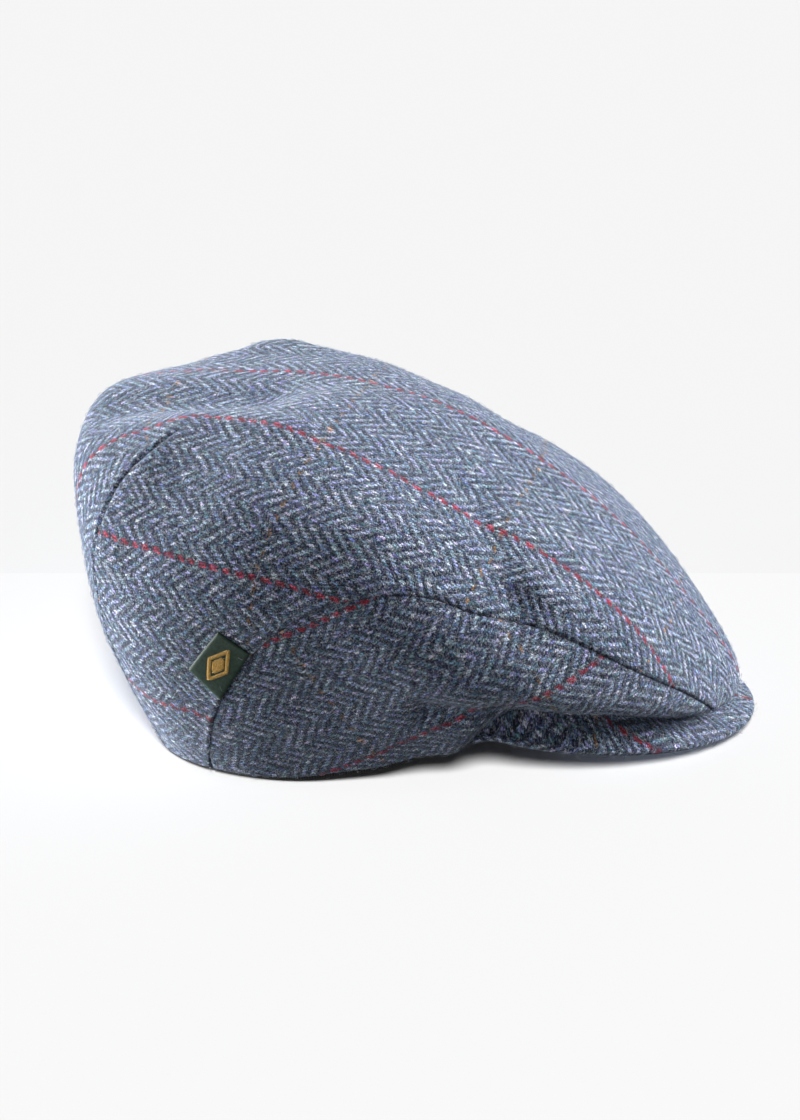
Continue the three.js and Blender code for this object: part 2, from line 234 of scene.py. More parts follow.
# a curved sheet laid flat, its triangles changed as little as it allows, so that the check runs as woven
def layFlat(points, triangles, start, pins, rounds=50):
    n = len(points)
    e1 = points[triangles[:, 1]] - points[triangles[:, 0]]
    e2 = points[triangles[:, 2]] - points[triangles[:, 0]]
    base = np.linalg.norm(e1, axis=1)
    doubleArea = np.maximum(np.linalg.norm(np.cross(e1, e2), axis=1), 1e-6)
    local = np.zeros((len(triangles), 3, 2))
    local[:, 1, 0] = base
    local[:, 2, 0] = (e1 * e2).sum(1) / base
    local[:, 2, 1] = doubleArea / base
    edges = []
    left = np.zeros((n, n))
    for i, j, o in ((0, 1, 2), (1, 2, 0), (2, 0, 1)):
        dot = ((local[:, i] - local[:, o]) * (local[:, j] - local[:, o])).sum(1)
        weight = np.clip(dot / doubleArea, 0.02, 20)
        edges.append((i, j, weight))
        a, b = triangles[:, i], triangles[:, j]
        np.add.at(left, (a, a), weight)
        np.add.at(left, (b, b), weight)
        np.add.at(left, (a, b), -weight)
        np.add.at(left, (b, a), -weight)
    lefts = [left, left.copy()]
    pulls = np.zeros((n, 2))
    for axis, ids, shares, value, strength in pins:
        lefts[axis][np.ix_(ids, ids)] += strength * np.outer(shares, shares)
        pulls[ids, axis] += strength * np.array(shares) * value
    inverse = [np.linalg.inv(m) for m in lefts]
    flat = start.copy()
    for _ in range(rounds):
        turn = np.zeros((len(triangles), 2, 2))
        for i, j, weight in edges:
            now = flat[triangles[:, i]] - flat[triangles[:, j]]
            was = local[:, i] - local[:, j]
            turn += weight[:, None, None] * now[:, :, None] * was[:, None, :]
        c = turn[:, 0, 0] + turn[:, 1, 1]
        s = turn[:, 1, 0] - turn[:, 0, 1]
        size = np.maximum(np.hypot(c, s), 1e-9)
        c, s = c / size, s / size
        right = pulls.copy()
        for i, j, weight in edges:
            was = local[:, i] - local[:, j]
            x, y = was.T
            turned = np.stack([c * x - s * y, s * x + c * y], 1) * weight[:, None]
            np.add.at(right, triangles[:, i], turned)
            np.add.at(right, triangles[:, j], -turned)
        flat = np.stack([inverse[0] @ right[:, 0], inverse[1] @ right[:, 1]], 1)
    return flat


def cubicWeights(f):
    return np.stack([((-f + 2) * f - 1) * f / 2, ((3 * f - 5) * f * f + 2) / 2,
                     ((-3 * f + 4) * f + 1) * f / 2, (f - 1) * f * f / 2], -1)


def longerGrid(grid):  # one more row at each end, in line with the last two
    return np.concatenate([2 * grid[:1] - grid[1:2], grid, 2 * grid[-1:] - grid[-2:-1]], 0)


def readGrid(grid, x, y):  # smooth reading between the points of a grid
    padded = longerGrid(longerGrid(grid).swapaxes(0, 1)).swapaxes(0, 1)
    i = np.clip(np.floor(x).astype(int), 0, grid.shape[0] - 2)
    j = np.clip(np.floor(y).astype(int), 0, grid.shape[1] - 2)
    wx, wy = cubicWeights(x - i), cubicWeights(y - j)
    out = 0
    for a in range(4):
        for b in range(4):
            out = out + (wx[..., a] * wy[..., b])[..., None] * padded[i + a, j + b]
    return out


def srgb(*values):
    v = np.array(values) / 255
    return tuple(np.where(v <= 0.04045, v / 12.92, ((v + 0.055) / 1.055) ** 2.4).tolist()) + (1.0,)


def inMetres(points):  # from mm on the cap's axis to the frame
    return (np.asarray(points, float) - [capForm["axisFromMiddle"], 0, 0]) / 1000


def newPiece(name, points, faces, uv, slots, materials, shade=None):
    mesh = bpy.data.meshes.new(name)
    mesh.from_pydata(inMetres(points).tolist(), [], [tuple(f) for f in faces])
    layer = mesh.uv_layers.new(name="cloth")
    layer.data.foreach_set("uv", np.concatenate([np.asarray(c, float) for c in uv]).ravel())
    mesh.polygons.foreach_set("material_index", np.asarray(slots, np.int32))
    mesh.polygons.foreach_set("use_smooth", np.ones(len(faces), bool))
    for material in materials:
        mesh.materials.append(material)
    if shade is not None:
        dark = mesh.attributes.new("seamShade", "FLOAT", "POINT")
        dark.data.foreach_set("value", np.asarray(shade, np.float32))
    mesh.update()
    piece = bpy.data.objects.new(name, mesh)
    bpy.context.scene.collection.objects.link(piece)
    return piece


def thickCloth(name, outer, inner, faces, uv, shade, materials):  # outside, lining and the edges between them
    n = len(outer)
    open_ = {}
    for face, corners in zip(faces, uv):
        for k in range(len(face)):
            a, b = int(face[k]), int(face[(k + 1) % len(face)])
            if (b, a) in open_:
                del open_[(b, a)]
            else:
                open_[(a, b)] = (corners[k], corners[(k + 1) % len(face)])
    lining = [tuple(int(i) + n for i in face[::-1]) for face in faces]
    liningUv = [corners[::-1] for corners in uv]
    edge = [(b, a, a + n, b + n) for a, b in open_]
    edgeUv = [np.array([ub, ua, ua, ub]) for ua, ub in open_.values()]
    slots = [0] * len(faces) + [1] * len(lining) + [0] * len(edge)
    return newPiece(name, np.concatenate([outer, inner]), [*faces, *lining, *edge], [*uv, *liningUv, *edgeUv],
                    slots, materials, np.concatenate([shade, shade]))


# short names for building node trees
def nodeKit(tree):
    def node(kind, inputs=None, **settings):
        made = tree.nodes.new(kind)
        for key, value in settings.items():
            setattr(made, key, value)
        for key, value in (inputs or {}).items():
            put(made.inputs[key], value)
        return made

    def put(socket, value):
        if isinstance(value, bpy.types.NodeSocket):
            tree.links.new(value, socket)
        else:
            socket.default_value = value

    def calc(operation, *values):
        made = tree.nodes.new("ShaderNodeMath")
        made.operation = operation
        for socket, value in zip(made.inputs, values):
            put(socket, value)
        return made.outputs[0]

    def blend(share, a, b, mode="MIX"):
        made = tree.nodes.new("ShaderNodeMix")
        made.data_type = "RGBA"
        made.blend_type = mode
        put(made.inputs[0], share)
        put(made.inputs[6], a)
        put(made.inputs[7], b)
        return made.outputs[2]

    def colours(share, stops):
        made = tree.nodes.new("ShaderNodeValToRGB")
        band = made.color_ramp.elements
        for k, (place, colour) in enumerate(stops):
            stop = band[k] if k < 2 else band.new(place)
            stop.position = place
            stop.color = colour
        put(made.inputs[0], share)
        return made.outputs[0]

    return node, put, calc, blend, colours


def joined(node, x=0.0, y=0.0, z=0.0):
    return node("ShaderNodeCombineXYZ", {0: x, 1: y, 2: z}).outputs[0]


def greyOf(node, value):
    return node("ShaderNodeCombineColor", {0: value, 1: value, 2: value}).outputs[0]


def newMaterial(name):
    material = bpy.data.materials.new(name)
    material.use_nodes = True
    tree = material.node_tree
    tree.nodes.clear()
    kit = nodeKit(tree)
    shader = kit[0]("ShaderNodeBsdfPrincipled")
    tree.links.new(shader.outputs[0], kit[0]("ShaderNodeOutputMaterial").inputs[0])
    return material, shader, kit


# the tweed: warp along U, weft along V, both in mm
tweed = {
    "endPitch": 62 / 55,  # warp yarns: 55 between two red ones
    "pickPitch": 1.28,
    "columnEnds": 8,  # yarns in one herringbone column
    "checkEnds": 55,
    "checkWeft": 74,
    "warp": [srgb(88, 116, 162), srgb(134, 160, 201), srgb(210, 222, 240)],
    "weft": [srgb(18, 26, 50), srgb(42, 54, 88), srgb(90, 102, 138)],
    "fleck": [srgb(74, 134, 152), srgb(122, 98, 150), srgb(228, 232, 238)],
    "yarnSpread": 0.8,  # how much one float of yarn differs from the next
    "cast": 0.36,  # how much its colour differs
    "slub": 3.0,  # contrast of the uneven fibres
    "hair": srgb(206, 214, 226),
    "red": srgb(190, 44, 66),
    "ochre": srgb(204, 150, 88),
    "sheen": 0.5,
    "sheenRoughness": 0.45,
    "sheenTint": srgb(205, 216, 232),
    "bump": 0.8,
    "relief": 0.0006,  # metres
    # how far the yarns wander: scale and detail of the noise, mm along U and V
    "slow": (0.07, 2.0, 3.0, 2.2), "quick": (0.55, 2.0, 1.6, 1.0), "rough": (1.7, 1.0, 2.4, 1.6),
    "repeat": 4.0,  # yarns in one repeat of the twill, two over and two under
    "weftRise": 0.7,  # height of a weft float against a warp float
    "mixAlong": 0.16, "mixAcross": 3.71,  # how far the fibres of one yarn are drawn out
    "warpStops": (0.3, 0.5, 0.72), "weftStops": (0.3, 0.52, 0.75),
    "fleckFrom": 0.56, "fleckShare": 0.5, "fleckKind": 0.55,
    "hairWays": [(0.9, 0.45, 3.0), (0.35, -1.0, 40.0)],  # along U, along V, place in the noise
    "hairAlong": 0.5, "hairAcross": 3.2, "hairFrom": 0.615, "hairShare": 0.5,
    "redHalf": 0.85, "redSlant": 0.6, "redDash": 1.7, "redVaries": 1.6, "redShare": 0.88,  # in yarns
    "ochreHalf": 0.7, "ochreRepeat": 6.0, "ochreDash": 2.1, "ochreShare": 0.72,
    "ochreClouds": 0.11, "ochreFrom": 0.36,  # where the ochre yarn shows at all
    "fibreScale": 1.9, "fibreRelief": 0.6, "darkestFibre": 0.2,
    # painted shade between the yarns: a float is darkened where it dips down between its neighbours
    "lightOnTop": 1.2, "lightBetween": 0.19,  # how light a float is on top and down between two
    # painted shade along the seams: how much it varies, its strength, and the least lightness the cloth keeps
    # there
    "seamVaries": 1.2, "seamDark": 0.25, "darkestSeam": 0.1,
}


def tweedMaterial(name):
    material, shader, (node, put, calc, blend, colours) = newMaterial(name)
    flat = node("ShaderNodeUVMap", uv_map="cloth").outputs[0]

    def noise(scale, detail=2.0, vector=flat, dimensions="2D"):
        return node("ShaderNodeTexNoise", {"Vector": vector, "Scale": scale, "Detail": detail},
                    noise_dimensions=dimensions)

    def away(socket, amount):
        return calc("MULTIPLY", calc("SUBTRACT", socket, 0.5), amount)

    split = node("ShaderNodeSeparateXYZ", {0: flat})
    flatU, flatV = split.outputs[0], split.outputs[1]

    def wander(kind):
        scale, detail, alongU, alongV = tweed[kind]
        drift = node("ShaderNodeSeparateColor", {0: noise(scale, detail).outputs[1]})
        return away(drift.outputs[0], alongU), away(drift.outputs[1], alongV), drift.outputs[2]

    slowU, slowV, _ = wander("slow")
    quickU, quickV, quickMore = wander("quick")
    roughU, roughV, roughMore = wander("rough")
    u = calc("ADD", calc("ADD", flatU, calc("ADD", slowU, quickU)), roughU)
    v = calc("ADD", calc("ADD", flatV, calc("ADD", slowV, quickV)), roughV)
    e = calc("DIVIDE", v, tweed["endPitch"])
    i = calc("FLOOR", e)
    fe = calc("FRACT", e)
    p = calc("DIVIDE", u, tweed["pickPitch"])
    j = calc("FLOOR", p)
    fp = calc("FRACT", p)
    column = calc("FLOOR", calc("DIVIDE", i, tweed["columnEnds"]))
    k = calc("SUBTRACT", i, calc("MULTIPLY", column, tweed["columnEnds"]))
    turn = calc("SUBTRACT", 1.0, calc("MULTIPLY", calc("FLOORED_MODULO", column, 2.0), 2.0))
    step = calc("MULTIPLY_ADD", turn, k, j)
    phase = calc("FLOORED_MODULO", step, tweed["repeat"])
    warpUp = calc("LESS_THAN", phase, 1.5)
    weftUp = calc("SUBTRACT", 1.0, warpUp)

    def onTop(warp, weft):
        return calc("ADD", calc("MULTIPLY", warp, warpUp), calc("MULTIPLY", weft, weftUp))

    def arch(x):
        return calc("SQRT", calc("MAXIMUM", calc("SINE", calc("MULTIPLY", x, math.pi)), 0.0))

    def roundYarn(x):
        return calc("SUBTRACT", 1.0, calc("POWER", calc("ABSOLUTE", calc("MULTIPLY_ADD", x, 2.0, -1.0)), 2.0))

    warpHeight = calc("MULTIPLY", roundYarn(fe), arch(calc("DIVIDE", calc("ADD", phase, fp), 2.0)))
    across = calc("MULTIPLY_ADD", turn, calc("SUBTRACT", fe, 0.5), 0.5)
    weftArch = arch(calc("DIVIDE", calc("SUBTRACT", calc("ADD", phase, across), 2.0), 2.0))
    weftHeight = calc("MULTIPLY", calc("MULTIPLY", roundYarn(fp), weftArch), tweed["weftRise"])
    height = onTop(warpHeight, weftHeight)

    # each yarn has its own mix of fibres, drawn out along its length
    def yarnMix(along, across_, seed):
        drawn = calc("MULTIPLY", along, tweed["mixAlong"])
        place = joined(node, drawn, calc("MULTIPLY_ADD", across_, tweed["mixAcross"], seed))
        return noise(1.0, 3.0, place).outputs[0]

    # and each float of it over its neighbours has its own lightness
    def floatTone(yarn, number):
        place = joined(node, yarn, number)
        chance = node("ShaderNodeTexWhiteNoise", {"Vector": place}, noise_dimensions="2D").outputs
        tone = calc("MULTIPLY_ADD", chance[0], tweed["yarnSpread"], 1.0 - tweed["yarnSpread"] / 2)
        return tone, chance[1]

    warpFloat = calc("FLOOR", calc("DIVIDE", step, tweed["repeat"]))
    weftFloat = calc("FLOOR", calc("DIVIDE", calc("ADD", step, tweed["repeat"] / 2), tweed["repeat"]))
    warpTone, warpCast = floatTone(i, warpFloat)
    weftTone, weftCast = floatTone(calc("ADD", j, 0.5), weftFloat)
    warpMix = yarnMix(u, i, 0.0)
    weftMix = yarnMix(v, j, 91.0)
    warpColour = colours(warpMix, list(zip(tweed["warpStops"], tweed["warp"])))
    weftColour = colours(weftMix, list(zip(tweed["weftStops"], tweed["weft"])))
    colour = blend(warpUp, weftColour, warpColour)
    colour = blend(tweed["cast"], colour, blend(warpUp, weftCast, warpCast), "SOFT_LIGHT")
    dots = noise(0.9, 1.0)
    kinds = node("ShaderNodeSeparateColor", {0: noise(0.45, 0.0).outputs[1]})
    first, second, third = tweed["fleck"]
    fleckColour = blend(calc("GREATER_THAN", kinds.outputs[0], tweed["fleckKind"]), first, second)
    fleckColour = blend(calc("GREATER_THAN", kinds.outputs[1], tweed["fleckKind"]), fleckColour, third)
    isFleck = calc("GREATER_THAN", dots.outputs[0], tweed["fleckFrom"])
    colour = blend(calc("MULTIPLY", isFleck, tweed["fleckShare"]), colour, fleckColour)
    # loose hairs of the wool, lying along two directions
    for along, over, seed in tweed["hairWays"]:
        a = calc("ADD", calc("MULTIPLY", flatU, along), calc("MULTIPLY", flatV, over))
        b = calc("SUBTRACT", calc("MULTIPLY", flatV, along), calc("MULTIPLY", flatU, over))
        drawn = calc("MULTIPLY_ADD", a, tweed["hairAlong"], seed)
        place = joined(node, drawn, calc("MULTIPLY", b, tweed["hairAcross"]))
        lies = calc("GREATER_THAN", noise(1.0, 2.0, place).outputs[0], tweed["hairFrom"])
        colour = blend(calc("MULTIPLY", lies, tweed["hairShare"]), colour, tweed["hair"])

    # overcheck: one red warp yarn and one ochre weft yarn that show where they float on top
    def near(x, period, half):
        place = calc("FLOORED_MODULO", calc("ADD", x, period / 2), period)
        return calc("LESS_THAN", calc("ABSOLUTE", calc("SUBTRACT", place, period / 2)), half)

    slant = calc("ADD", p, calc("MULTIPLY", e, tweed["redSlant"]))
    redLength = calc("MULTIPLY_ADD", quickMore, tweed["redVaries"], tweed["redDash"])
    redDash = calc("LESS_THAN", calc("FLOORED_MODULO", slant, tweed["repeat"]), redLength)
    isRed = calc("MULTIPLY", near(e, float(tweed["checkEnds"]), tweed["redHalf"]), redDash)
    ochreAt = calc("FLOORED_MODULO", calc("ADD", e, calc("MULTIPLY", j, turn)), tweed["ochreRepeat"])
    ochreDash = calc("LESS_THAN", ochreAt, tweed["ochreDash"])
    shows = calc("GREATER_THAN", noise(tweed["ochreClouds"], 1.0).outputs[0], tweed["ochreFrom"])
    onOchre = near(u, float(tweed["checkWeft"]), tweed["ochreHalf"])
    isOchre = calc("MULTIPLY", calc("MULTIPLY", onOchre, ochreDash), shows)
    colour = blend(calc("MULTIPLY", isOchre, tweed["ochreShare"]), colour, tweed["ochre"])
    colour = blend(calc("MULTIPLY", isRed, tweed["redShare"]), colour, tweed["red"])

    fibres = noise(tweed["fibreScale"], 2.0).outputs[0]
    # painted shade: each yarn darker where it dips between its neighbours
    depth = calc("MULTIPLY_ADD", height, tweed["lightOnTop"], tweed["lightBetween"])
    uneven = calc("MULTIPLY_ADD", away(fibres, 1.0), tweed["slub"], 1.0)
    depth = calc("MULTIPLY", depth, calc("MAXIMUM", uneven, tweed["darkestFibre"]))
    depth = calc("MULTIPLY", depth, onTop(warpTone, weftTone))
    # painted shade in the seams' creases: the seamShade attribute darkens the cloth along the crown's sewn
    # edge, on the panels' tops under it, and in the darts
    seam = node("ShaderNodeAttribute", attribute_name="seamShade").outputs["Fac"]
    sewn = calc("MULTIPLY", seam, calc("MULTIPLY_ADD", roughMore, tweed["seamVaries"], tweed["seamDark"]))
    depth = calc("MULTIPLY", depth, calc("MAXIMUM", calc("SUBTRACT", 1.0, sewn), tweed["darkestSeam"]))
    put(shader.inputs["Base Color"], blend(1.0, colour, greyOf(node, depth), "MULTIPLY"))
    relief = calc("MULTIPLY_ADD", fibres, tweed["fibreRelief"], height)
    bump = node("ShaderNodeBump", {"Strength": tweed["bump"], "Distance": tweed["relief"], "Height": relief})
    put(shader.inputs["Normal"], bump.outputs[0])
    shader.inputs["Roughness"].default_value = 0.95
    shader.inputs["Specular IOR Level"].default_value = 0.15
    shader.inputs["Sheen Weight"].default_value = tweed["sheen"]
    shader.inputs["Sheen Roughness"].default_value = tweed["sheenRoughness"]
    shader.inputs["Sheen Tint"].default_value = tweed["sheenTint"]
    return material


def plainMaterial(name, look, ridges):  # ridges on a cloudy ground between two tones
    material, shader, (node, put, calc, blend, colours) = newMaterial(name)
    flat = node("ShaderNodeUVMap", uv_map="cloth").outputs[0]
    split = node("ShaderNodeSeparateXYZ", {0: flat})
    ridge = ridges(calc, split.outputs[0], split.outputs[1])
    clouds = {"Vector": flat, "Scale": look["cloudScale"], "Detail": look["cloudDetail"]}
    cloud = node("ShaderNodeTexNoise", clouds, noise_dimensions="2D").outputs[0]
    share = calc("MULTIPLY_ADD", ridge, look["ridgeShare"], cloud)
    put(shader.inputs["Base Color"], colours(share, look["tones"]))
    bump = node("ShaderNodeBump", {"Strength": look["bump"], "Distance": look["relief"], "Height": ridge})
    put(shader.inputs["Normal"], bump.outputs[0])
    shader.inputs["Roughness"].default_value = look["roughness"]
    shader.inputs["Sheen Weight"].default_value = look["sheen"]
    return material


# inside of the cap: a black satin twill
lining = {
    "tones": [(0.25, srgb(15, 15, 18)), (0.8, srgb(34, 34, 40))],
    "pitch": 1.1, "cloudScale": 0.06, "cloudDetail": 3.0, "ridgeShare": 0.18,
    "bump": 0.25, "relief": 0.0003, "roughness": 0.42, "sheen": 0.2,
}


def liningRidges(calc, x, y):
    return calc("SINE", calc("MULTIPLY", calc("DIVIDE", calc("ADD", x, y), lining["pitch"]), 2 * math.pi))


tweedCloth = tweedMaterial("tweed")
liningCloth = plainMaterial("lining", lining, liningRidges)
print("cloth materials made")

# the crown: one cloth with a dart on each side of its back
crownCloth = {
    "step": 1.5,  # degrees between columns
    "dartAngle": 150,
    "dartApex": 0.64,
    "dartColumns": [0.12, 0.3, 0.55, 0.9, 1.4, 2.1, 3.0],  # degrees beside a dart
    "edgeRows": [0, 0.3, 0.7, 1.2, 1.8, 2.6, 3.6, 5.0, 7.0, 9.5],  # mm above the edge
    "rows": 54,
    "length": 180,
    "beside": 0.6,  # degrees left free next to the dart's columns
    "poleLevel": 0.9999,
    "poleAt": 12.0, "polePull": 0.02,  # place of the pole on the flat cloth, and how hard it is held there
    "sewnLevel": 0.06,  # level of the panel seam above which the edge is sewn
    "calm": 12,  # mm from the edge over which the unevenness comes in
    "edgeSink": 0.8, "sewnSink": 0.15, "edgeWidth": 0.7,
    "lip": 0.6, "lipFrom": 3.2, "lipWidth": 2.6,
    "groove": 0.8, "grooveWidth": 0.8, "grooveFade": 0.07,
    "dartLip": 0.25, "dartLipFrom": 2.4, "dartLipWidth": 1.6,
    # painted shade: edgeDark and dartDark are the widths, in mm, of the darkening along the crown's sewn edge
    # and in the dart's crease; dartShade is its strength in the dart
    "edgeDark": 0.45, "dartDark": 0.42, "dartShade": 0.75,
}
# check lines seen on the cloth: value in mm of the flat cloth, then (angle, level) of points on it,
# which a scratch script cast onto an earlier state of the folds from pixels picked by eye in the photo
redLines = [
    (0, [(171.1, 0.608), (163.5, 0.678), (156.9, 0.756), (158.3, 0.835), (-164.7, 0.946), (-45.6, 0.949),
         (-17.5, 0.875), (-14.2, 0.803), (-6.7, 0.737), (-1.4, 0.663), (-2.2, 0.361), (0.5, 0.262)]),
    (-62, [(-161.7, 0.446), (-159.6, 0.493), (-156.6, 0.574), (-150.5, 0.645), (-136.9, 0.685),
           (-120.2, 0.703), (-101.2, 0.693), (-84.5, 0.634), (-77.6, 0.603), (-68.5, 0.597),
           (-57.8, 0.592), (-47.8, 0.509), (-40.6, 0.425), (-32.0, 0.327), (-24.9, 0.24)]),
    (-124, [(-147.8, 0.401), (-142.9, 0.413), (-137.4, 0.423), (-125.6, 0.425), (-114.2, 0.418),
            (-102.3, 0.408), (-95.7, 0.409)]),
    (-186, [(-142.1, 0.126), (-136.2, 0.115), (-130.0, 0.089)]),
]
ochreLines = [
    (-74, [(167.3, 0.646), (173.8, 0.659), (-155.9, 0.575)]),
    (0, [(108.1, 0.811), (-133.4, 0.875), (-114.8, 0.701), (-114.6, 0.54), (-115.6, 0.456),
         (-117.6, 0.388), (-119.9, 0.337)]),
    (74, [(6.2, 0.754), (-51.0, 0.631), (-58.1, 0.586), (-70.4, 0.474), (-73.7, 0.409)]),
    (148, [(-27.4, 0.353), (-36.3, 0.283)]),
]


def pinAt(grid, x, y):  # the four corners round a place on a grid, and the share of each
    i = int(min(x, grid.shape[0] - 2))
    j = int(min(y, grid.shape[1] - 2))
    fx, fy = x - i, y - j
    shares = {}
    for corner, share in ((grid[i, j], (1 - fx) * (1 - fy)), (grid[i + 1, j], fx * (1 - fy)),
                          (grid[i + 1, j + 1], fx * fy), (grid[i, j + 1], (1 - fx) * fy)):
        shares[int(corner)] = shares.get(int(corner), 0) + share
    return list(shares), list(shares.values())


def crownFlat(rows=20, step=5, pull=1.2):  # the crown laid flat, open along its darts
    dart = crownCloth["dartAngle"]
    share = np.arange(rows) / rows
    blocks = [np.radians(np.arange(-dart, dart + 1, step)), np.radians(np.arange(dart, 361 - dart, step))]
    points, ids = [], []
    for b, angles in enumerate(blocks):
        theta = np.repeat(angles[:, None], rows, 1)
        edge = seamLevel(theta)
        level = edge + (1 - edge) * share
        place = foldedCap(theta, level)
        grid = np.zeros((len(angles), rows + 1), int)
        for i in range(len(angles)):
            for j in range(rows):
                if b == 1 and i in (0, len(angles) - 1) and level[i, j] >= crownCloth["dartApex"]:
                    grid[i, j] = ids[0][-1 if i == 0 else 0, j]
                else:
                    grid[i, j] = len(points)
                    points.append(place[i, j])
        ids.append(grid)
    pole = len(points)
    points.append(foldedCap(np.zeros(1), np.full(1, crownCloth["poleLevel"]))[0])
    points = np.array(points)
    triangles = []
    start = np.zeros((len(points), 2))
    for angles, grid in zip(blocks, ids):
        grid[:, rows] = pole
        cells = gridCorners(grid)
        triangles += [c[[0, 1, 2]] for c in cells] + [c[[0, 2, 3]] for c in cells if c[2] != c[3]]
        reach = rowLengths(points[grid])
        reach = reach[:, -1:] - reach
        start[grid] = reach[..., None] * np.stack([np.cos(angles), np.sin(angles)], 1)[:, None]
    pins = [(0, [pole], [1.0], crownCloth["poleAt"], crownCloth["polePull"])]
    for axis, lines in ((1, redLines), (0, ochreLines)):
        for value, marks in lines:
            for angle, level in marks:
                b = 0 if abs(angle) <= dart else 1
                angle = angle if b == 0 else angle % 360
                edge = float(seamLevel(np.radians(angle)))
                x = (angle - np.degrees(blocks[b][0])) / step
                y = (level - edge) / (1 - edge) * rows
                pins.append((axis, *pinAt(ids[b], x, y), value, pull))
    flat = layFlat(points, np.array(triangles), start, pins)
    return [flat[grid] for grid in ids], step, rows


def columnAngles(first, last):  # columns between two darts, closer beside them
    near = np.array(crownCloth["dartColumns"])
    free = near[-1] + crownCloth["beside"]
    plain = np.arange(first, last + 0.01, crownCloth["step"])
    inside = plain[(plain > first + free) & (plain < last - free)]
    return np.concatenate([[first], first + near, inside, (last - near)[::-1], [last]])


def makeCrown():
    c = crownCloth
    dart = c["dartAngle"]
    flats, flatStep, flatRows = crownFlat()
    mainAngles = columnAngles(-dart, dart)
    tailAngles = columnAngles(dart, 360 - dart)
    low = np.array(crownCloth["edgeRows"]) / crownCloth["length"]
    share = np.concatenate([low, np.linspace(low[-1], 1, crownCloth["rows"])[1:-1]])
    outer, inner, shade, ids, faces, uv = [], [], [], [], [], []
    for b, angles in enumerate((mainAngles, tailAngles)):
        theta = np.repeat(np.radians(angles)[:, None], len(share), 1)
        edge = seamLevel(theta)
        level = edge + (1 - edge) * share
        place = foldedCap(theta, level)
        normal = outwards(foldedCap, theta, level)
        d = rowLengths(place)
        sewn = ramp(edge, 0.0, c["sewnLevel"])  # 1 at the panel seam, 0 at the hem
        lift = softWave(place) * ramp(d, 0, c["calm"])
        lift -= (c["edgeSink"] - c["sewnSink"] * sewn) * bell(d, c["edgeWidth"])
        lift += c["lip"] * sewn * bell(d - c["lipFrom"], c["lipWidth"])
        turn = np.abs(np.where(theta > np.pi, theta - 2 * np.pi, theta))
        beside = np.abs(turn - math.radians(dart)) * np.linalg.norm(place[..., :2], axis=-1)
        inDart = ramp(c["dartApex"] - level, 0.0, c["grooveFade"])
        lift -= c["groove"] * inDart * bell(beside, c["grooveWidth"])
        lift += c["dartLip"] * inDart * bell(beside - c["dartLipFrom"], c["dartLipWidth"])
        # painted shade in the dart's crease and along the crown's sewn edge, stored as seamShade
        dartDark = c["dartShade"] * inDart * bell(beside, c["dartDark"])
        dark = np.maximum(bell(d, c["edgeDark"]) * sewn, dartDark)
        grid = np.zeros(theta.shape, int)
        for i in range(len(angles)):
            if b == 1 and i in (0, len(angles) - 1):
                grid[i] = ids[0][-1 if i == 0 else 0]
                continue
            grid[i] = np.arange(len(share)) + len(outer)
            outer += list(place[i] + normal[i] * lift[i][:, None])
            inner += list(place[i] - normal[i] * capForm["cloth"])
            shade += list(dark[i])
        ids.append(grid)
        x = (angles - angles[0]) / flatStep
        flatHere = readGrid(flats[b], *np.meshgrid(x, share * flatRows, indexing="ij"))
        faces += list(gridCorners(grid))
        uv += list(gridCorners(flatHere))
        b0 = flats[b][0, flatRows]
        for i in range(len(angles) - 1):
            faces.append(np.array([grid[i, -1], grid[i + 1, -1], -1]))
            uv.append(np.array([flatHere[i, -1], flatHere[i + 1, -1], b0]))
    pole = len(outer)
    top = foldedCap(np.zeros(1), np.full(1, crownCloth["poleLevel"]))[0]
    outer.append(top + [0, 0, softWave(top[None])[0]])
    inner.append(top - [0, 0, capForm["cloth"]])
    shade.append(0)
    faces = [np.where(f < 0, pole, f) for f in faces]
    return thickCloth("crown_cloth", np.array(outer), np.array(inner), faces, uv, np.array(shade),
                      [tweedCloth, liningCloth])


crownPiece = makeCrown()
print("crown made:", len(crownPiece.data.polygons), "faces")

# the side panels: cut with the grain rising to the front
panelCloth = {
    "step": 1.2,
    "seamRows": [0, 0.4, 0.9, 1.5, 2.3, 3.4, 5.0],  # mm below the seam
    "hemRows": [0, 0.3, 0.7, 1.2, 1.9, 2.8, 4.0],  # mm above the hem
    "rows": 24,
    "grainTurn": 24,
    "tuck": 0.006,  # level that the panel reaches in below the crown's edge
    "sink": 0.8, "sinkWidth": 1.5,
    "hemSink": 0.9, "hemWidth": 0.7,
    "calmHem": 8, "calmSeam": 10,  # mm over which the unevenness comes in
    # painted shade on the panel's top, under the crown's edge
    "shadeFrom": 1.3, "shadeFade": 0.6,  # mm below the seam
    "endGap": 0.3,  # degrees left free at each end
    "flatFrom": -132, "flatTo": -11, "flatLeast": 0.02,  # degrees, and the least level laid flat
    "leastLevel": 1e-4, "leastMiddle": 4,
}
panelRed = [
    (0, [(-114.4, 0.292), (-110.5, 0.31), (-104.3, 0.346), (-99.2, 0.374), (-95.2, 0.396)]),
    (-62, [(-93.0, 0.02), (-87.5, 0.07), (-82.3, 0.121), (-60.2, 0.189), (-54.5, 0.23), (-48.1, 0.27),
           (-44.8, 0.293)]),
]
panelOchre = [
    (0, [(-106.0, 0.203), (-102.0, 0.159), (-99.1, 0.137), (-96.2, 0.071)]),
    (74, [(-65.2, 0.325), (-60.5, 0.256), (-59.8, 0.228)]),
]


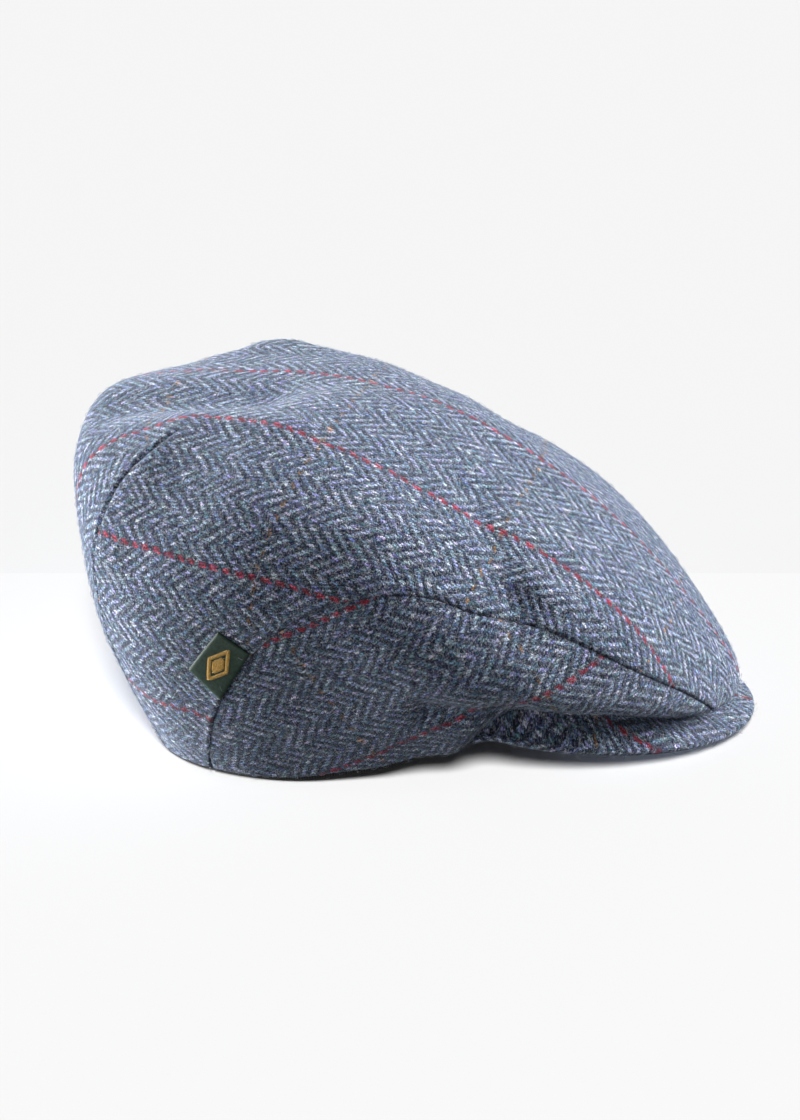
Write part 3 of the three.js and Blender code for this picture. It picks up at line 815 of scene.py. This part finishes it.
def panelFlat(rows=10, step=3, pull=0.8):
    angles = np.arange(panelCloth["flatFrom"], panelCloth["flatTo"], step)
    theta = np.repeat(np.radians(angles)[:, None], rows + 1, 1)
    share = np.arange(rows + 1) / rows
    level = np.maximum(seamLevel(theta), panelCloth["flatLeast"]) * share
    place = foldedCap(theta, level)
    grid = np.arange(theta.size).reshape(theta.shape)
    points = place.reshape(-1, 3)
    cells = gridCorners(grid)
    triangles = np.array([c[[0, 1, 2]] for c in cells] + [c[[0, 2, 3]] for c in cells])
    across = rowLengths(place[None, :, rows // 2])[0]
    wall = np.stack([np.repeat(across[:, None], rows + 1, 1), rowLengths(place)], -1).reshape(-1, 2)
    turn = math.radians(-panelCloth["grainTurn"])
    start = wall @ np.array([[math.cos(turn), math.sin(turn)], [-math.sin(turn), math.cos(turn)]])
    pins = []
    for axis, lines in ((1, panelRed), (0, panelOchre)):
        for value, marks in lines:
            for angle, level in marks:
                x = (angle - angles[0]) / step
                y = level / float(seamLevel(np.radians(angle))) * rows
                pins.append((axis, *pinAt(grid, x, y), value, pull))
    return layFlat(points, triangles, start, pins)[grid], angles[0], step, rows


def makePanel(name, side):  # side -1 is the wearer's right
    flat, flatFirst, flatStep, flatRows = panelFlat()
    first = panelSeam[0][0] + panelCloth["endGap"]
    last = panelSeam[-1][0] - panelCloth["endGap"]
    angles = -np.linspace(last, first, int((last - first) / panelCloth["step"]))
    theta = np.radians(angles)
    top = seamLevel(theta) + panelCloth["tuck"] * ramp(seamLevel(theta), 0, 0.05)
    top = np.maximum(top, panelCloth["leastLevel"])
    line = foldedCap(np.repeat(theta[:, None], 9, 1), top[:, None] * np.linspace(0, 1, 9))
    length = rowLengths(line)[:, -1]
    hem = np.array(panelCloth["hemRows"])
    seam = np.array(panelCloth["seamRows"])[::-1]
    shares = []
    for whole in length:
        squeeze = min(1, whole / (hem[-1] + seam[-1] + panelCloth["leastMiddle"]))
        low, high = hem * squeeze, whole - seam * squeeze
        middle = np.linspace(low[-1], high[0], panelCloth["rows"])[1:-1]
        shares.append(np.concatenate([low, middle, high]) / whole)
    share = np.array(shares)
    theta = np.repeat(theta[:, None], share.shape[1], 1)
    level = share * top[:, None]
    mirrored = theta if side < 0 else -theta
    place = foldedCap(mirrored, level)
    normal = outwards(foldedCap, mirrored, level)
    fromHem = share * length[:, None]
    fromSeam = (1 - share) * length[:, None]
    c = panelCloth
    lift = softWave(place) * ramp(fromHem, 0, c["calmHem"]) * ramp(fromSeam, 0, c["calmSeam"])
    lift -= c["hemSink"] * bell(fromHem, c["hemWidth"]) + c["sink"] * bell(fromSeam, c["sinkWidth"])
    outer = place + normal * lift[..., None]
    inner = place - normal * capForm["cloth"]
    # painted shade under the crown's edge, stored as seamShade
    dark = ramp(c["shadeFrom"] - fromSeam, 0, c["shadeFade"])
    x = np.clip((np.degrees(theta) - flatFirst) / flatStep, -1, flat.shape[0])
    uvHere = readGrid(flat, x, share * flatRows)
    if side > 0:
        uvHere = uvHere * [1, -1]
        outer, inner, dark, uvHere = outer[::-1], inner[::-1], dark[::-1], uvHere[::-1]
    grid = np.arange(dark.size).reshape(dark.shape)
    return thickCloth(name, outer.reshape(-1, 3), inner.reshape(-1, 3), list(gridCorners(grid)),
                      list(gridCorners(uvHere)), dark.ravel(), [tweedCloth, liningCloth])


rightPanel = makePanel("side_panel_right_cloth", -1)
leftPanel = makePanel("side_panel_left_cloth", 1)
print("side panels made")

# the peak: a board in tweed, rounded along its edge
peakCloth = {
    "baseX": 20, "reach": 118, "halfWidth": 76,
    "endHeight": 17.8, "tipHeight": 3.2, "sinkPower": 1.22, "camber": 0.5,
    "rootAngle": 67, "edgeAngle": 86.5,
    "rootSetback": 1.9, "rootDrop": 0.6,
    "thickness": 3.2,
    "columns": 150, "rows": 22, "edgeSteps": 9,
    "lineSpread": 1.08,
    "edgeShare": 0.4, "rowPower": 0.8,
    "underShift": (31, 9),  # mm of the flat cloth between the two faces
}


def makePeak():
    c = peakCloth
    across = np.linspace(-1, 1, c["columns"])
    rootAt = np.radians(across * c["rootAngle"])
    edgeAt = np.radians(across * c["edgeAngle"])
    hem = sectionPoints(rootAt)[:, 0]
    setBack = hem[:, 0] - c["rootSetback"]
    root = np.stack([setBack * np.cos(rootAt), setBack * np.sin(rootAt), hem[:, 1] - c["rootDrop"]], 1)
    sink = (1 - np.cos(edgeAt)) ** c["sinkPower"]
    rim = np.stack([c["baseX"] + c["reach"] * np.cos(edgeAt), c["halfWidth"] * np.sin(edgeAt),
                    c["tipHeight"] + (c["endHeight"] - c["tipHeight"]) * sink + c["thickness"]], 1)
    length = np.linalg.norm((rim - root)[:, :2], axis=1)
    half = np.minimum(c["thickness"] / 2, length * c["edgeShare"])
    out = (rim - root)[:, :2] / length[:, None]
    fade = np.linspace(0, 1, c["rows"])[None] ** c["rowPower"]
    t = fade * (1 - half / length)[:, None]  # from the root towards the edge
    top = root[:, None] + (rim - root)[:, None] * t[..., None]
    top[..., 2] += c["camber"] * np.sqrt(np.cos(edgeAt))[:, None] * np.sin(np.pi * t)
    angle = np.linspace(np.pi / 2, -np.pi / 2, c["edgeSteps"] + 2)[1:-1]
    middle = top[:, -1] - [0, 0, c["thickness"] / 2]
    arc = np.zeros((c["columns"], c["edgeSteps"], 3))
    arc[..., :2] = middle[:, None, :2] + out[:, None] * (half[:, None] * np.cos(angle))[..., None]
    arc[..., 2] = middle[:, None, 2] + c["thickness"] / 2 * np.sin(angle)
    under = top[:, ::-1] - [0, 0, c["thickness"]]
    loop = np.concatenate([top, arc, under], 1)
    turned = (np.pi / 2 - angle) * c["thickness"] / 2
    arcFlat = top[:, -1:, :2] + out[:, None] * turned[None, :, None]
    flat = np.concatenate([top[..., :2], arcFlat, under[..., :2] + c["underShift"]], 1)
    flat = flat * [1, c["lineSpread"]]
    ids = np.arange(loop.shape[0] * loop.shape[1]).reshape(loop.shape[:2])
    ring = np.concatenate([ids, ids[:, :1]], 1)
    ringFlat = np.concatenate([flat, flat[:, :1]], 1)
    faces = [f[::-1] for f in gridCorners(ring)]
    uv = [f[::-1] for f in gridCorners(ringFlat)]
    faces += [ids[0], ids[-1][::-1]]
    uv += [flat[0], flat[-1][::-1]]
    shade = np.zeros(ids.size)
    return newPiece("peak_cloth", loop.reshape(-1, 3), faces, uv, [0] * len(faces), [tweedCloth], shade)


peakPiece = makePeak()
print("peak made")

# the sweatband: ribbed black cotton inside the hem
sweatband = {
    "tones": [(0.25, srgb(17, 17, 19)), (0.85, srgb(40, 40, 44))],
    "height": 32, "thickness": 1.3, "lean": 4, "clearance": 0.45, "gap": 0.1, "shows": 1.2, "columns": 240,
    "easeShare": 0.75,  # how much of the hem's lift the band follows
    "edgeFlat": 0.2, "flatRound": 80,  # mm of the flat cloth added at each row, and where it closes
    "ribPitch": 1.0, "cloudScale": 0.3, "cloudDetail": 4.0, "ridgeShare": 0.2,
    "bump": 0.5, "relief": 0.0004, "roughness": 0.8, "sheen": 0.15,
}


def bandRibs(calc, x, y):
    return calc("SINE", calc("MULTIPLY", x, 2 * math.pi / sweatband["ribPitch"]))


def makeBand():
    c = sweatband
    theta = np.linspace(0, 2 * np.pi, c["columns"], endpoint=False)
    hem = sectionPoints(theta)[:, 0]
    ease = hemEase(theta)
    foot = np.maximum(hem[:, 1] + ease - (1 - c["easeShare"]) * np.maximum(ease, 0) - c["shows"], 0)
    # section round the band: up the outside, over the top edge, down the inside
    rows = [(0, 0.3), (0, 1), (0, 8), (0, 16), (0, 24), (0, 31), (0.12, 31.7), (0.5, 32), (0.88, 31.7),
            (1, 31), (1, 24), (1, 16), (1, 8), (1, 1), (1, 0.3), (0.8, 0), (0.2, 0)]
    depth = np.array([r[0] for r in rows]) * c["thickness"]
    height = np.array([r[1] for r in rows])
    lean = height[None] / c["height"] * c["lean"] * np.maximum(-np.cos(theta), 0)[:, None]
    radius = (hem[:, 0] - capForm["cloth"] - c["gap"] - c["clearance"])[:, None] + lean - depth
    turn = theta[:, None]
    loop = np.stack([radius * np.cos(turn), radius * np.sin(turn), foot[:, None] + height[None]], -1)
    ids = np.arange(loop.shape[0] * loop.shape[1]).reshape(loop.shape[:2])
    ring = np.concatenate([ids, ids[:, :1]], 1)
    ring = np.concatenate([ring, ring[:1]], 0)
    round_ = rowLengths(np.concatenate([loop[:, 0], loop[:1, 0]])[None])[0]
    round_ *= round(round_[-1] / c["ribPitch"]) * c["ribPitch"] / round_[-1]
    upwards = np.cumsum(np.abs(np.diff(height, prepend=0)) + c["edgeFlat"])
    flat = np.stack(np.meshgrid(round_, np.append(upwards, c["flatRound"]), indexing="ij"), -1)
    faces = list(gridCorners(ring))
    return newPiece("sweatband_ribbed", loop.reshape(-1, 3), faces, list(gridCorners(flat)), [0] * len(faces),
                    [plainMaterial("band_cotton", c, bandRibs)])


bandPiece = makeBand()
print("sweatband made")

# the label: a small green weave caught in the panel seam
labelTab = {
    # corners: angle, level
    "seamLow": (-125.4, 0.172), "seamHigh": (-118.2, 0.272),
    "freeLow": (-129.7, 0.225), "freeHigh": (-123.5, 0.304),
    "lift": 0.3, "thickness": 0.9, "columns": 24, "rows": 34,
    "curl": 0.5, "wave": 0.25, "waveTurns": 1.3, "waveStart": 0.4,  # how the free edge stands off
    "acrossSize": 16, "upSize": 24, "rounding": 0.3, "roundWidth": 0.6,  # rounding of the edges
    "tones": [(0.2, srgb(16, 40, 30)), (0.8, srgb(40, 78, 58))],
    "warpPitch": 0.5, "weftPitch": 0.7, "cloudScale": 0.8, "cloudDetail": 3.0, "ridgeShare": 0.2,
    "bump": 0.4, "relief": 0.0002, "roughness": 0.55, "sheen": 0.1,
}


def labelRidges(calc, x, y):
    warp = calc("SINE", calc("MULTIPLY", x, 2 * math.pi / labelTab["warpPitch"]))
    weft = calc("SINE", calc("MULTIPLY", y, 2 * math.pi / labelTab["weftPitch"]))
    return calc("MULTIPLY", warp, weft)


def labelPlace(u, v, lift):  # u from the free edge to the seam, v upwards
    c = labelTab
    corner = [np.array(c[k]) for k in ("freeLow", "seamLow", "freeHigh", "seamHigh")]
    u, v, lift = np.broadcast_arrays(u, v, lift)
    where = ((1 - u) * (1 - v))[..., None] * corner[0] + (u * (1 - v))[..., None] * corner[1]
    where = where + ((1 - u) * v)[..., None] * corner[2] + (u * v)[..., None] * corner[3]
    theta, level = np.radians(where[..., 0]), where[..., 1]
    return foldedCap(theta, level) + outwards(foldedCap, theta, level) * lift[..., None]


def labelCurl(u, v):  # the free edge stands off a little
    c = labelTab
    wave = np.sin(v * np.pi * c["waveTurns"] + c["waveStart"])
    return c["curl"] * (1 - u) ** 2 + c["wave"] * wave * (1 - u)


def makeLabel():
    c = labelTab
    u, v = np.meshgrid(np.linspace(0, 1, c["columns"]), np.linspace(0, 1, c["rows"]), indexing="ij")
    curl = labelCurl(u, v)
    edge = np.minimum(np.minimum(u, 1 - u) * c["acrossSize"], np.minimum(v, 1 - v) * c["upSize"])
    rounding = c["rounding"] * bell(edge, c["roundWidth"])
    outer = labelPlace(u, v, c["lift"] + c["thickness"] + curl - rounding)
    inner = labelPlace(u, v, c["lift"] + curl + rounding)
    width = np.linalg.norm(outer[-1, 0] - outer[0, 0])
    height = np.linalg.norm(outer[0, -1] - outer[0, 0])
    uvHere = np.stack([u * width, v * height], -1)
    grid = np.arange(u.size).reshape(u.shape)
    green = plainMaterial("label_weave", c, labelRidges)
    return thickCloth("label_tab_woven", outer.reshape(-1, 3), inner.reshape(-1, 3), list(gridCorners(grid)),
                      list(gridCorners(uvHere)), np.zeros(u.size), [green, green])


labelPiece = makeLabel()
print("label made")

# inputs and outputs of a tree of geometry nodes, by name
def newTree(name, inputs, output):
    tree = bpy.data.node_groups.new(name, "GeometryNodeTree")
    for label, kind in inputs:
        tree.interface.new_socket(label, in_out="INPUT", socket_type="NodeSocket" + kind)
    tree.interface.new_socket(output, in_out="OUTPUT", socket_type="NodeSocketGeometry")
    kit = nodeKit(tree)
    return tree, kit[0]("NodeGroupInput").outputs, kit


def fromNodes(name, mesh, tree, values):  # the tree's result as a plain mesh
    holder = bpy.data.objects.new(name + "_base", mesh)
    bpy.context.scene.collection.objects.link(holder)
    modifier = holder.modifiers.new("nodes", "NODES")
    modifier.node_group = tree
    for item in tree.interface.items_tree:
        if item.in_out == "INPUT" and item.name in values:
            modifier[item.identifier] = values[item.name]
    graph = bpy.context.evaluated_depsgraph_get()
    made = bpy.data.meshes.new_from_object(holder.evaluated_get(graph), depsgraph=graph)
    holder.modifiers.remove(modifier)
    bpy.data.objects.remove(holder)
    made.name = name
    made.polygons.foreach_set("use_smooth", np.ones(len(made.polygons), bool))
    piece = bpy.data.objects.new(name, made)
    bpy.context.scene.collection.objects.link(piece)
    return piece


def pathMesh(name, points, closed):
    mesh = bpy.data.meshes.new(name)
    links = [(k, k + 1) for k in range(len(points) - 1)] + ([(len(points) - 1, 0)] if closed else [])
    mesh.from_pydata(inMetres(points).tolist(), links, [])
    return mesh


# a thread bent through three points, with its section
def bentThread(node, places, radius, bends, sides, caps):
    start, middle, end = places
    curve = {"Resolution": bends, "Start": start, "Middle": middle, "End": end}
    yarn = node("GeometryNodeCurveQuadraticBezier", curve).outputs[0]
    ring = node("GeometryNodeCurvePrimitiveCircle", {"Resolution": sides, "Radius": radius}, mode="RADIUS")
    profile = {"Curve": yarn, "Profile Curve": ring.outputs[0], "Fill Caps": caps}
    return node("GeometryNodeCurveToMesh", profile).outputs[0]


def endTree(node, put, instances, material):  # the instances as one mesh of a material
    real = node("GeometryNodeRealizeInstances", {"Geometry": instances}).outputs[0]
    dressed = node("GeometryNodeSetMaterial", {"Geometry": real, "Material": material}).outputs[0]
    put(node("NodeGroupOutput").inputs[0], dressed)


# short arched threads side by side along a path on a surface
def threadTree():
    sizes = [(k, "Float") for k in ("Pitch", "Length", "Radius", "Arch", "Turn", "Sink")]
    sockets = [("Path", "Geometry"), ("Surface", "Object"), *sizes, ("Material", "Material")]
    tree, given, (node, put, calc, blend, colours) = newTree("threads_on_path", sockets, "Threads")
    curve = node("GeometryNodeMeshToCurve", {"Mesh": given["Path"]}).outputs[0]
    spots = node("GeometryNodeCurveToPoints", {"Curve": curve, "Length": given["Pitch"]}, mode="LENGTH")
    under = node("GeometryNodeObjectInfo", {"Object": given["Surface"]}).outputs["Geometry"]
    normal = node("GeometryNodeInputNormal").outputs[0]
    up = node("GeometryNodeSampleNearestSurface", {"Mesh": under, "Value": normal}, data_type="FLOAT_VECTOR")
    axes = node("FunctionNodeAxesToRotation", {0: up.outputs["Value"], 1: spots.outputs["Tangent"]},
                primary_axis="Z", secondary_axis="X").outputs[0]
    half = calc("MULTIPLY", given["Length"], 0.5)
    low = calc("MULTIPLY", given["Sink"], -1.0)
    start = joined(node, calc("MULTIPLY", half, -1.0), z=low)
    places = (start, joined(node, z=given["Arch"]), joined(node, half, z=low))
    thread = bentThread(node, places, given["Radius"], 5, 6, True)
    laid = node("GeometryNodeInstanceOnPoints", {"Points": spots.outputs["Points"], "Instance": thread,
                                                 "Rotation": axes}).outputs[0]
    turn = joined(node, z=given["Turn"])
    turned = node("GeometryNodeRotateInstances", {"Instances": laid, "Rotation": turn}).outputs[0]
    endTree(node, put, turned, given["Material"])
    return tree


# loose fibres that stand off the tweed
fuzz = {
    "perPiece": {"crown": 8200, "side_panel_right": 3200, "side_panel_left": 3200, "peak": 2400},
    "length": 2.6, "radius": 0.045, "rise": 0.55, "seed": 5,
    "clear": 3.5,  # no fibres this near the floor
    "bendAlong": 0.45, "bendAside": 0.2, "bendUp": 1.6, "endUp": 0.4, "rootSink": 0.2,
    "shortest": 0.5, "longest": 1.3,  # against the length
    "tones": [srgb(62, 78, 112), srgb(128, 146, 178), srgb(206, 214, 226), srgb(238, 240, 244)],
}


def fuzzTree():
    sizes = [(k, "Float") for k in ("Density", "Length", "Radius", "Rise", "Clear")]
    sockets = [("Cloth", "Geometry"), *sizes, ("Seed", "Int"), ("Material", "Material")]
    tree, given, (node, put, calc, blend, colours) = newTree("loose_fibres", sockets, "Fibres")
    outside = node("FunctionNodeCompare", {2: node("GeometryNodeInputMaterialIndex").outputs[0], 3: 0},
                   data_type="INT", operation="EQUAL").outputs[0]
    height = node("ShaderNodeSeparateXYZ", {0: node("GeometryNodeInputPosition").outputs[0]}).outputs[2]
    outside = calc("MULTIPLY", outside, calc("GREATER_THAN", height, given["Clear"]))
    spots = node("GeometryNodeDistributePointsOnFaces", {"Mesh": given["Cloth"], "Selection": outside,
                                                         "Density": given["Density"], "Seed": given["Seed"]})

    def chance(low, high, seed):
        return node("FunctionNodeRandomValue", {2: low, 3: high, "Seed": seed}, data_type="FLOAT").outputs[1]

    def part(size, share):
        return calc("MULTIPLY", given[size], fuzz[share])

    spin = node("FunctionNodeEulerToRotation", {0: joined(node, z=chance(0.0, 6.283, 2))}).outputs[0]
    lie = node("FunctionNodeRotateRotation", {0: spots.outputs["Rotation"], 1: spin}, rotation_space="LOCAL")
    bend = joined(node, part("Length", "bendAlong"), part("Length", "bendAside"), part("Rise", "bendUp"))
    end = joined(node, given["Length"], z=part("Rise", "endUp"))
    places = ((0, 0, -fuzz["rootSink"] / 1000), bend, end)
    fibre = bentThread(node, places, given["Radius"], 4, 3, False)
    laid = node("GeometryNodeInstanceOnPoints", {
        "Points": spots.outputs["Points"], "Instance": fibre, "Rotation": lie.outputs[0],
        "Scale": chance(fuzz["shortest"], fuzz["longest"], 7)}).outputs[0]
    tone = {"Geometry": laid, "Name": "tone", "Value": chance(0.0, 1.0, 13)}
    toned = node("GeometryNodeStoreNamedAttribute", tone, data_type="FLOAT", domain="INSTANCE").outputs[0]
    endTree(node, put, toned, given["Material"])
    return tree


def fuzzMaterial(name):
    material, shader, (node, put, calc, blend, colours) = newMaterial(name)
    tone = node("ShaderNodeAttribute", attribute_name="tone").outputs["Fac"]
    put(shader.inputs["Base Color"], colours(tone, list(zip((0.1, 0.4, 0.75, 1.0), fuzz["tones"]))))
    shader.inputs["Roughness"].default_value = 0.9
    shader.inputs["Sheen Weight"].default_value = 0.3
    return material


def makeFuzz():
    tree = fuzzTree()
    wool = fuzzMaterial("wool_fibres")
    pieces = []
    sizes = {key.capitalize(): fuzz[key] / 1000 for key in ("length", "radius", "rise", "clear")}
    for cloth, node in ((crownPiece, "crown"), (rightPanel, "side_panel_right"),
                        (leftPanel, "side_panel_left"), (peakPiece, "peak")):
        outside = sum(f.area for f in cloth.data.polygons if f.material_index == 0)
        density = fuzz["perPiece"][node] / outside
        values = {"Density": density, "Seed": fuzz["seed"], "Material": wool, **sizes}
        pieces.append(fromNodes(node + "_fibres", cloth.data.copy(), tree, values))
    return pieces


fuzzPieces = makeFuzz()
print("loose fibres made:", [len(p.data.polygons) for p in fuzzPieces])

# stitching: a gold lozenge on the label, a row of running stitches round the foot of the sweatband
stitching = {
    "gold": {"tones": [srgb(206, 152, 58), srgb(255, 220, 136)], "roughness": 0.4, "turn": 65,
             "pitch": 0.36, "length": 1.5, "radius": 0.17, "arch": 0.34, "sink": 0.1},
    "black": {"tones": [srgb(20, 20, 22), srgb(52, 52, 58)], "roughness": 0.6, "turn": 0,
              "pitch": 4.2, "length": 3.0, "radius": 0.24, "arch": 0.4, "sink": 0.1},
    "strands": 2600.0, "bump": 0.4, "relief": 0.0001, "sheen": 0.2,
    "lozenge": (0.5, 0.5), "lozengeHalf": (0.26, 0.33),  # middle and half size in shares of the label
    "lozengeRings": (1.0, 0.46, 0.28, 0.1),  # the frame of the lozenge, then three rings that fill its middle
    "lozengeSteps": 12, "lozengeLift": 0.05,
    "bandUp": 4.0,
}


def yarnMaterial(name, look):
    c = stitching
    material, shader, (node, put, calc, blend, colours) = newMaterial(name)
    place = node("ShaderNodeTexCoord").outputs["Object"]
    twist = {"Vector": place, "Scale": c["strands"], "Detail": 2.0}
    strands = node("ShaderNodeTexNoise", twist).outputs[0]
    put(shader.inputs["Base Color"], colours(strands, list(zip((0.35, 0.65), look["tones"]))))
    bump = node("ShaderNodeBump", {"Strength": c["bump"], "Distance": c["relief"], "Height": strands})
    put(shader.inputs["Normal"], bump.outputs[0])
    shader.inputs["Roughness"].default_value = look["roughness"]
    shader.inputs["Sheen Weight"].default_value = c["sheen"]
    return material


def threadsAlong(name, path, tree, surface, look, material):  # along a closed path
    values = {key.capitalize(): look[key] / 1000 for key in ("pitch", "length", "radius", "arch", "sink")}
    values.update({"Surface": surface, "Turn": math.radians(look["turn"]), "Material": material})
    return fromNodes(name, pathMesh(name + "_path", path, True), tree, values)


def makeStitches():
    c = stitching
    tree = threadTree()
    gold = yarnMaterial("gold_thread", c["gold"])
    black = yarnMaterial("black_thread", c["black"])
    lift = labelTab["lift"] + labelTab["thickness"] + c["lozengeLift"]
    pieces = []
    for number, size in enumerate(c["lozengeRings"]):
        corner = np.array([(0, -1), (1, 0), (0, 1), (-1, 0), (0, -1)]) * c["lozengeHalf"] * size
        corner = corner + c["lozenge"]
        sides = [np.linspace(corner[k], corner[k + 1], c["lozengeSteps"], endpoint=False) for k in range(4)]
        u, v = np.concatenate(sides).T
        path = labelPlace(u, v, lift + labelCurl(u, v))
        pieces.append(threadsAlong("label_lozenge_%d" % number, path, tree, labelPiece, c["gold"], gold))
    band = sweatband
    theta = np.linspace(0, 2 * np.pi, band["columns"], endpoint=False)
    hem = sectionPoints(theta)[:, 0]
    radius = hem[:, 0] - capForm["cloth"] - band["gap"] - band["clearance"] - band["thickness"]
    radius = radius + c["bandUp"] / band["height"] * band["lean"] * np.maximum(-np.cos(theta), 0)
    height = np.maximum(hem[:, 1] + band["easeShare"] * hemEase(theta) - band["shows"], 0) + c["bandUp"]
    ring = np.stack([radius * np.cos(theta), radius * np.sin(theta), height], 1)
    pieces.append(threadsAlong("sweatband_stitches", ring, tree, bandPiece, c["black"], black))
    return pieces


stitchPieces = makeStitches()
print("stitches made:", [len(p.data.polygons) for p in stitchPieces])

for piece in fuzzPieces:
    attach(piece, "root")
for piece in stitchPieces:
    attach(piece, "root")

for piece, node, slot in ((crownPiece, "crown", "tweed"), (rightPanel, "side_panel_right", "tweed"),
                          (leftPanel, "side_panel_left", "tweed"), (peakPiece, "peak", "tweed"),
                          (bandPiece, "sweatband", "band_cotton"), (labelPiece, "label_tab", "label_weave")):
    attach(piece, "root")
    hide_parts(node)

# the photo's camera: degrees, mm, and pixels of its frame
photoView = {
    "azimuth": 5, "elevation": 21, "distance": 900, "target": (0, 0, 70),
    "pixel": (415, 543), "frame": (800, 1120), "focal": 2250,
}
# floor and light
studio = {
    "lamps": [  # where each large soft lamp stands, strength, spread in degrees
        ((-1.0, 0.24, 0.04), 8.2, 35),
        ((0.95, 0.35, 0.55), 6.0, 40),
        ((-0.9, -0.45, 0.0), 1.2, 45),
        ((-0.1, 0.5, 0.85), 1.1, 45),
    ],
    # surrounding light: share from below to above, strength
    "sky": [(0.25, 0.12), (0.44, 0.36), (0.56, 0.34), (0.8, 0.02), (1.0, 0.0)],
    "skySeen": 0.95,
    "frontDim": 0.3,  # the surrounding light is weaker on the camera's side
    "floorLamp": ((0.07, -0.77, 0.64), 5.55, 16),  # lights the floor alone
    "paper": 0.8, "backdropFrom": 0.143, "backdropTone": 0.965, "floorHalf": 8,
    "sensor": 36, "farthest": 50,
}


def makeStudio():
    c = studio
    floor = bpy.data.meshes.new("floor")
    half = c["floorHalf"]
    corners = [(-half, -half, 0), (half, -half, 0), (half, half, 0), (-half, half, 0)]
    floor.from_pydata(corners, [], [(0, 1, 2, 3)])
    floorPiece = bpy.data.objects.new("floor", floor)
    bpy.context.scene.collection.objects.link(floorPiece)
    material = bpy.data.materials.new("floor_paper")
    material.use_nodes = True
    tree = material.node_tree
    tree.nodes.clear()
    node, put, calc, blend, colours = nodeKit(tree)
    place = node("ShaderNodeSeparateXYZ", {0: node("ShaderNodeTexCoord").outputs["Object"]})
    turn = math.radians(photoView["azimuth"])
    aside = calc("MULTIPLY", place.outputs[0], math.sin(turn))
    away = calc("SUBTRACT", calc("MULTIPLY", place.outputs[1], math.cos(turn)), aside)
    beyond = calc("GREATER_THAN", away, c["backdropFrom"])
    tone = blend(beyond, (1, 1, 1, 1), (c["backdropTone"],) * 3 + (1,))
    paper = node("ShaderNodeBsdfDiffuse", {"Color": blend(1.0, tone, (c["paper"],) * 3 + (1,), "MULTIPLY")})
    tree.links.new(paper.outputs[0], node("ShaderNodeOutputMaterial").inputs[0])
    floor.materials.append(material)
    floorPiece.visible_diffuse = False  # its bounce is left to the low part of the surrounding light
    floorPiece.visible_glossy = False
    floorPiece.visible_shadow = False
    onFloor = bpy.data.collections.new("lit_by_floor_lamp")
    onFloor.objects.link(floorPiece)
    offFloor = bpy.data.collections.new("not_lit_by_cap_lamps")
    offFloor.objects.link(floorPiece)
    offFloor.collection_objects[0].light_linking.link_state = "EXCLUDE"
    for number, (place, strength, spread) in enumerate([c["floorLamp"], *c["lamps"]]):
        light = bpy.data.lights.new("lamp_%d" % number, "SUN")
        light.energy = strength
        light.angle = math.radians(spread)
        lamp = bpy.data.objects.new("lamp_%d" % number, light)
        lamp.location = place
        lamp.rotation_euler = (-Vector(place)).to_track_quat("-Z", "Y").to_euler()
        lamp.light_linking.receiver_collection = offFloor if number else onFloor
        bpy.context.scene.collection.objects.link(lamp)
    world = bpy.data.worlds.new("studio")
    world.use_nodes = True
    tree = world.node_tree
    tree.nodes.clear()
    node, put, calc, blend, colours = nodeKit(tree)
    way = node("ShaderNodeSeparateXYZ", {0: node("ShaderNodeTexCoord").outputs["Generated"]})
    height = way.outputs[2]
    soft = colours(calc("MULTIPLY_ADD", height, 0.5, 0.5), [(place, (v, v, v, 1)) for place, v in c["sky"]])
    level = calc("MULTIPLY_ADD", way.outputs[1], c["frontDim"], 1.0)
    soft = blend(1.0, soft, greyOf(node, level), "MULTIPLY")
    seen = blend(node("ShaderNodeLightPath").outputs["Is Camera Ray"], soft, (c["skySeen"],) * 3 + (1,))
    back = node("ShaderNodeBackground", {"Color": seen, "Strength": 1.0})
    tree.links.new(back.outputs[0], node("ShaderNodeOutputWorld").inputs[0])
    bpy.context.scene.world = world
    camera = bpy.data.cameras.new("camera")
    camera.sensor_width = c["sensor"]
    width, height = photoView["frame"]
    camera.lens = photoView["focal"] / height * camera.sensor_width
    eye = bpy.data.objects.new("camera", camera)
    rise = math.radians(photoView["elevation"])
    back = np.array([math.sin(turn) * math.cos(rise), -math.cos(turn) * math.cos(rise), math.sin(rise)])
    eye.location = inMetres(photoView["target"] + photoView["distance"] * back)
    eye.rotation_euler = Vector(-back).to_track_quat("-Z", "Y").to_euler()
    camera.shift_x = (width / 2 - photoView["pixel"][0]) / height
    camera.shift_y = (photoView["pixel"][1] - height / 2) / height
    camera.clip_end = c["farthest"]
    bpy.context.scene.collection.objects.link(eye)
    bpy.context.scene.camera = eye
    bpy.context.scene.view_settings.view_transform = "Standard"


makeStudio()
print("studio made")
